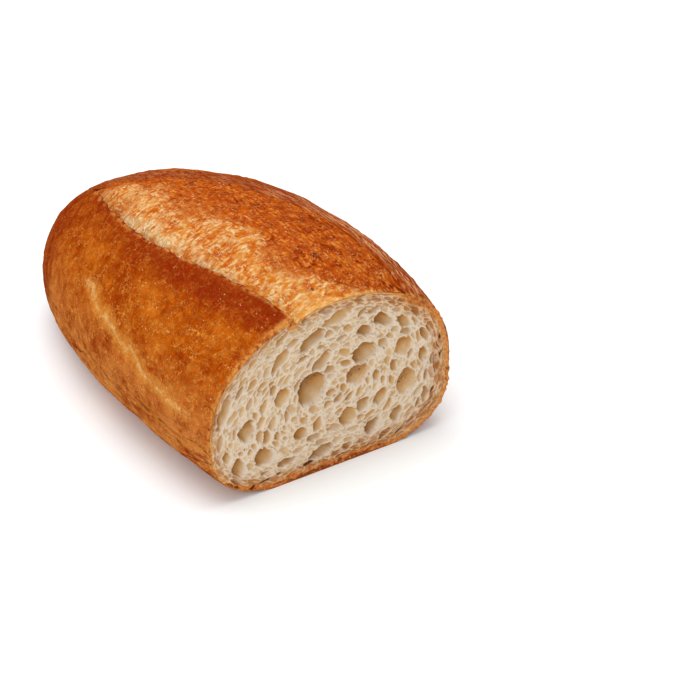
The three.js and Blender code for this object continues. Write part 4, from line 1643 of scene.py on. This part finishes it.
@dataclass(frozen=True)
class OpenCrumb:
    """Matt cream crumb with painted shade, warmer and darker in its hollows, lighter on its walls, and a
    browned edge.
    """

    cream: Colour = tone(218, 200, 178)
    # warm, hollow and deep are the painted shade of the crumb's hollows
    warm: Colour = tone(207, 177, 138)
    hollow: Colour = tone(192, 147, 92)
    deep: Colour = tone(162, 104, 42)
    pore_shade: Colour = tone(166, 116, 62)
    tan: Colour = tone(208, 154, 88)
    toasted: Colour = tone(162, 96, 40)
    rim: Colour = tone(220, 148, 72)
    border: Colour = tone(230, 184, 122)
    brown: Colour = tone(176, 86, 24)
    base: Colour = tone(124, 54, 14)
    pit: Colour = tone(112, 48, 14)
    speck: Colour = tone(92, 64, 40)
    # painted shade on the sheltered side of large holes
    lee_shade_colour: Colour = tone(146, 116, 84)

    def make(self) -> bpy.types.Material:
        """Builds the material."""
        bench = Bench("open crumb")
        spot = bench.place()
        strata = bench.stored("strata")
        tan = bench.stored("tan")
        pore_shade = bench.stored("pore_shade")
        floors = bench.stored("hollow").rises(0.0, 0.55)
        cloud = bench.noise(spot, 6 * MM, 3.0)
        plain = tan.rises(0.5, 0.1)
        walls = bench.stored("inside").rises(0.5, 0.1) * plain
        threads = bench.veins(bench.warped(spot, 1.6 * MM, 0.7 * MM), 1.3 * MM, 0.12) * (1 - floors) * plain
        # painted shade from the bubbles and their sunk places, lightened on the walls and threads as painted
        # light, with cloudy tone on top
        sunk = bench.stored("dark") * 0.75 + bench.stored("cavity_shade") * 0.24 + cloud * 0.35 + 0.07
        sunk = sunk - walls * 0.05 - threads * 0.07
        colour = bench.ramp(sunk, [(0.1, self.cream), (0.34, self.warm), (0.62, self.hollow),
                                   (0.98, self.deep)])
        colour = bench.blend((tan + strata * tan * 0.6).rises(0.0, 1.1) * 0.8, colour, self.tan)
        colour = bench.blend(floors * tan.rises(0.1, 0.7) * 0.75, colour, self.toasted)
        colour = bench.blend(tan.rises(0.0, 0.5) * strata.rises(-0.05, -0.45) * 0.45, colour, self.toasted)
        colour = bench.blend(tan.rises(0.0, 0.5) * strata.rises(0.1, 0.5) * 0.5, colour, self.cream)
        # painted shade in the small pits
        colour = bench.blend(pore_shade * (tan * 0.25 + 0.6), colour, self.pore_shade)
        specks = bench.noise(spot, 0.9 * MM, 2.0).rises(0.53, 0.6)
        specks = specks * bench.noise(spot, 2.6 * MM).rises(0.42, 0.55)
        # painted shade on the sheltered side of large holes, with dark specks in it
        lee_shade = bench.stored("specks")
        colour = bench.blend(lee_shade.rises(0.1, 1.0) * 0.45, colour, self.lee_shade_colour)
        colour = bench.blend(specks * lee_shade.rises(0.1, 0.5) * 0.9, colour, self.speck)
        border = bench.stored("rim").rises(3.2, 1.0) * (1 - bench.stored("burnt")) * (1 - floors * 0.5)
        colour = bench.blend(border * 0.55, colour, self.border)
        ragged = bench.stored("rim") - strata * 0.5 + bench.noise(spot, 1.4 * MM, 3.0) * 1.6 - 0.8
        colour = bench.blend(ragged.rises(1.4, 0.7) * 0.9, colour, self.rim)
        flecks = bench.noise(bench.warped(spot, 1.6 * MM, 0.6 * MM), 1.0 * MM, 2.0, 0.6)
        colour = bench.blend(ragged.rises(1.5, 0.9) * flecks.rises(0.5, 0.62) * 0.7, colour, self.brown)
        colour = bench.blend(ragged.rises(1.8, 1.0) * flecks.rises(0.46, 0.36) * 0.5, colour, self.tan)
        tip = bench.stored("tip") + (flecks - 0.5) * 0.8
        colour = bench.blend(tip.rises(0.25, 0.6), colour, self.rim)
        colour = bench.blend(tip.rises(0.6, 1.0) * 0.7, colour, self.brown)
        burnt = bench.stored("burnt")
        colour = bench.blend(burnt * ragged.rises(1.15, 0.5) * (floors * 0.3 + 0.6), colour, self.brown)
        colour = bench.blend(burnt.rises(0.75, 1.0) * ragged.rises(0.6, 0.3) * 0.9, colour, self.base)
        colour = bench.blend(bench.stored("slit").rises(0.2, 1.2), colour, self.pit)
        grain = bench.noise(spot, 0.7 * MM, 2.0, 0.6)
        colour = bench.blend(grain.rises(0.5, 0.2) * 0.25, colour, self.pore_shade)
        return bench.surface({
            "Base Color": colour, "Roughness": 0.6, "Specular IOR Level": 0.1,
            "Normal": bench.bump(grain + threads * 0.4, 0.18 * MM, 0.6),
            "Subsurface Weight": 0.2, "Subsurface Radius": (1.0, 0.7, 0.4), "Subsurface Scale": 0.8 * MM,
        })


# ---------------------------------------------------------------- studio


@dataclass
class Studio:
    """The pale floor, the soft light and the camera."""

    low: Vector
    high: Vector
    azimuth: float = 55.1
    elevation: float = 29.9
    distance: float = 1.0
    lens: float = 123.5
    aim: tuple[float, float] = (0.0246, 0.0564)
    lamps_face: float = 0.03
    sensor: float = 36.0
    room: float = 0.58
    floor_reach: float = 6.0
    floor_colour: Colour = (0.93, 0.955, 0.965, 1)
    glow: float = 0.03

    def floor(self) -> bpy.types.Object:
        """Lays a wide white floor under the loaf."""
        bm = bmesh.new()
        bmesh.ops.create_grid(bm, x_segments=1, y_segments=1, size=self.floor_reach)
        bmesh.ops.translate(bm, verts=bm.verts, vec=(0, 0, self.low.z - 0.02 * MM))
        mesh = finished_mesh(bm, "floor")
        bench = Bench("white floor")
        mesh.materials.append(bench.surface({
            "Base Color": self.floor_colour, "Roughness": 0.9, "Specular IOR Level": 0.0,
            "Emission Color": (1, 1, 1, 1), "Emission Strength": self.glow,
        }))
        floor = bpy.data.objects.new("floor", mesh)
        bpy.context.scene.collection.objects.link(floor)
        return floor

    def light(self, name: str, place: Sequence[float], size: float, power: float) -> bpy.types.Object:
        """Hangs a square soft light that faces the loaf.

        Args:
            name: The light's name.
            place: Where it hangs, in metres.
            size: The length of its side.
            power: Its power in watts.

        Returns:
            The light.
        """
        data = bpy.data.lights.new(name, "AREA")
        data.shape, data.size, data.energy = "SQUARE", size, power
        lamp = bpy.data.objects.new(name, data)
        lamp.location = place
        lamp.rotation_mode = "QUATERNION"
        towards = Vector((0, 0, self.lamps_face)) - Vector(place)
        lamp.rotation_quaternion = towards.to_track_quat("-Z", "Y")
        bpy.context.scene.collection.objects.link(lamp)
        return lamp

    def surroundings(self) -> None:
        """Fills the room with even white light."""
        world = bpy.data.worlds.new("studio")
        world.use_nodes = True
        sockets = world.node_tree.nodes["Background"].inputs
        sockets["Color"].default_value = (1, 1, 1, 1)
        sockets["Strength"].default_value = self.room
        bpy.context.scene.world = world

    def camera(self) -> bpy.types.Object:
        """Sets the camera to look down on the cut face and the ear's side."""
        azimuth, elevation = math.radians(self.azimuth), math.radians(self.elevation)
        level = math.cos(elevation)
        back = Vector((math.sin(azimuth) * level, -math.cos(azimuth) * level, math.sin(elevation)))
        centre = (self.low + self.high) / 2
        aim = Vector((centre.x + self.aim[0], centre.y + self.aim[1], self.low.z))
        data = bpy.data.cameras.new("camera")
        data.lens, data.sensor_width = self.lens, self.sensor
        camera = bpy.data.objects.new("camera", data)
        camera.location = aim + back * self.distance
        camera.rotation_mode = "QUATERNION"
        camera.rotation_quaternion = (-back).to_track_quat("-Z", "Y")
        bpy.context.scene.collection.objects.link(camera)
        bpy.context.scene.camera = camera
        return camera

    def build(self) -> None:
        """Sets everything up."""
        self.floor()
        self.surroundings()
        self.light("overhead", (-0.14, -0.1, 1.25), 1.3, 14.0)
        self.light("fill", (0.8, -0.9, 0.6), 0.9, 4.5)
        self.camera()
        bpy.context.scene.view_settings.view_transform = "Standard"


def main() -> None:
    """Builds the loaf's pieces in order, then the studio."""
    logging.basicConfig(level=logging.INFO, format="%(message)s")
    low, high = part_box(NODE)
    form = LoafForm(low, high)
    crust = Crust(form)
    bloom = Bloom(form)
    crumb = Crumb(form)
    pieces = [crust.build(BakedSkin().make()), bloom.build(TornSkin().make())]
    crumb.outline(crust.rim, bloom.front)
    pieces.append(crumb.build(OpenCrumb().make()))
    for piece in pieces:
        LOG.info("%s: %d faces", piece.name, len(piece.data.polygons))
    Studio(low, high).build()


if __name__ == "__main__":
    main()
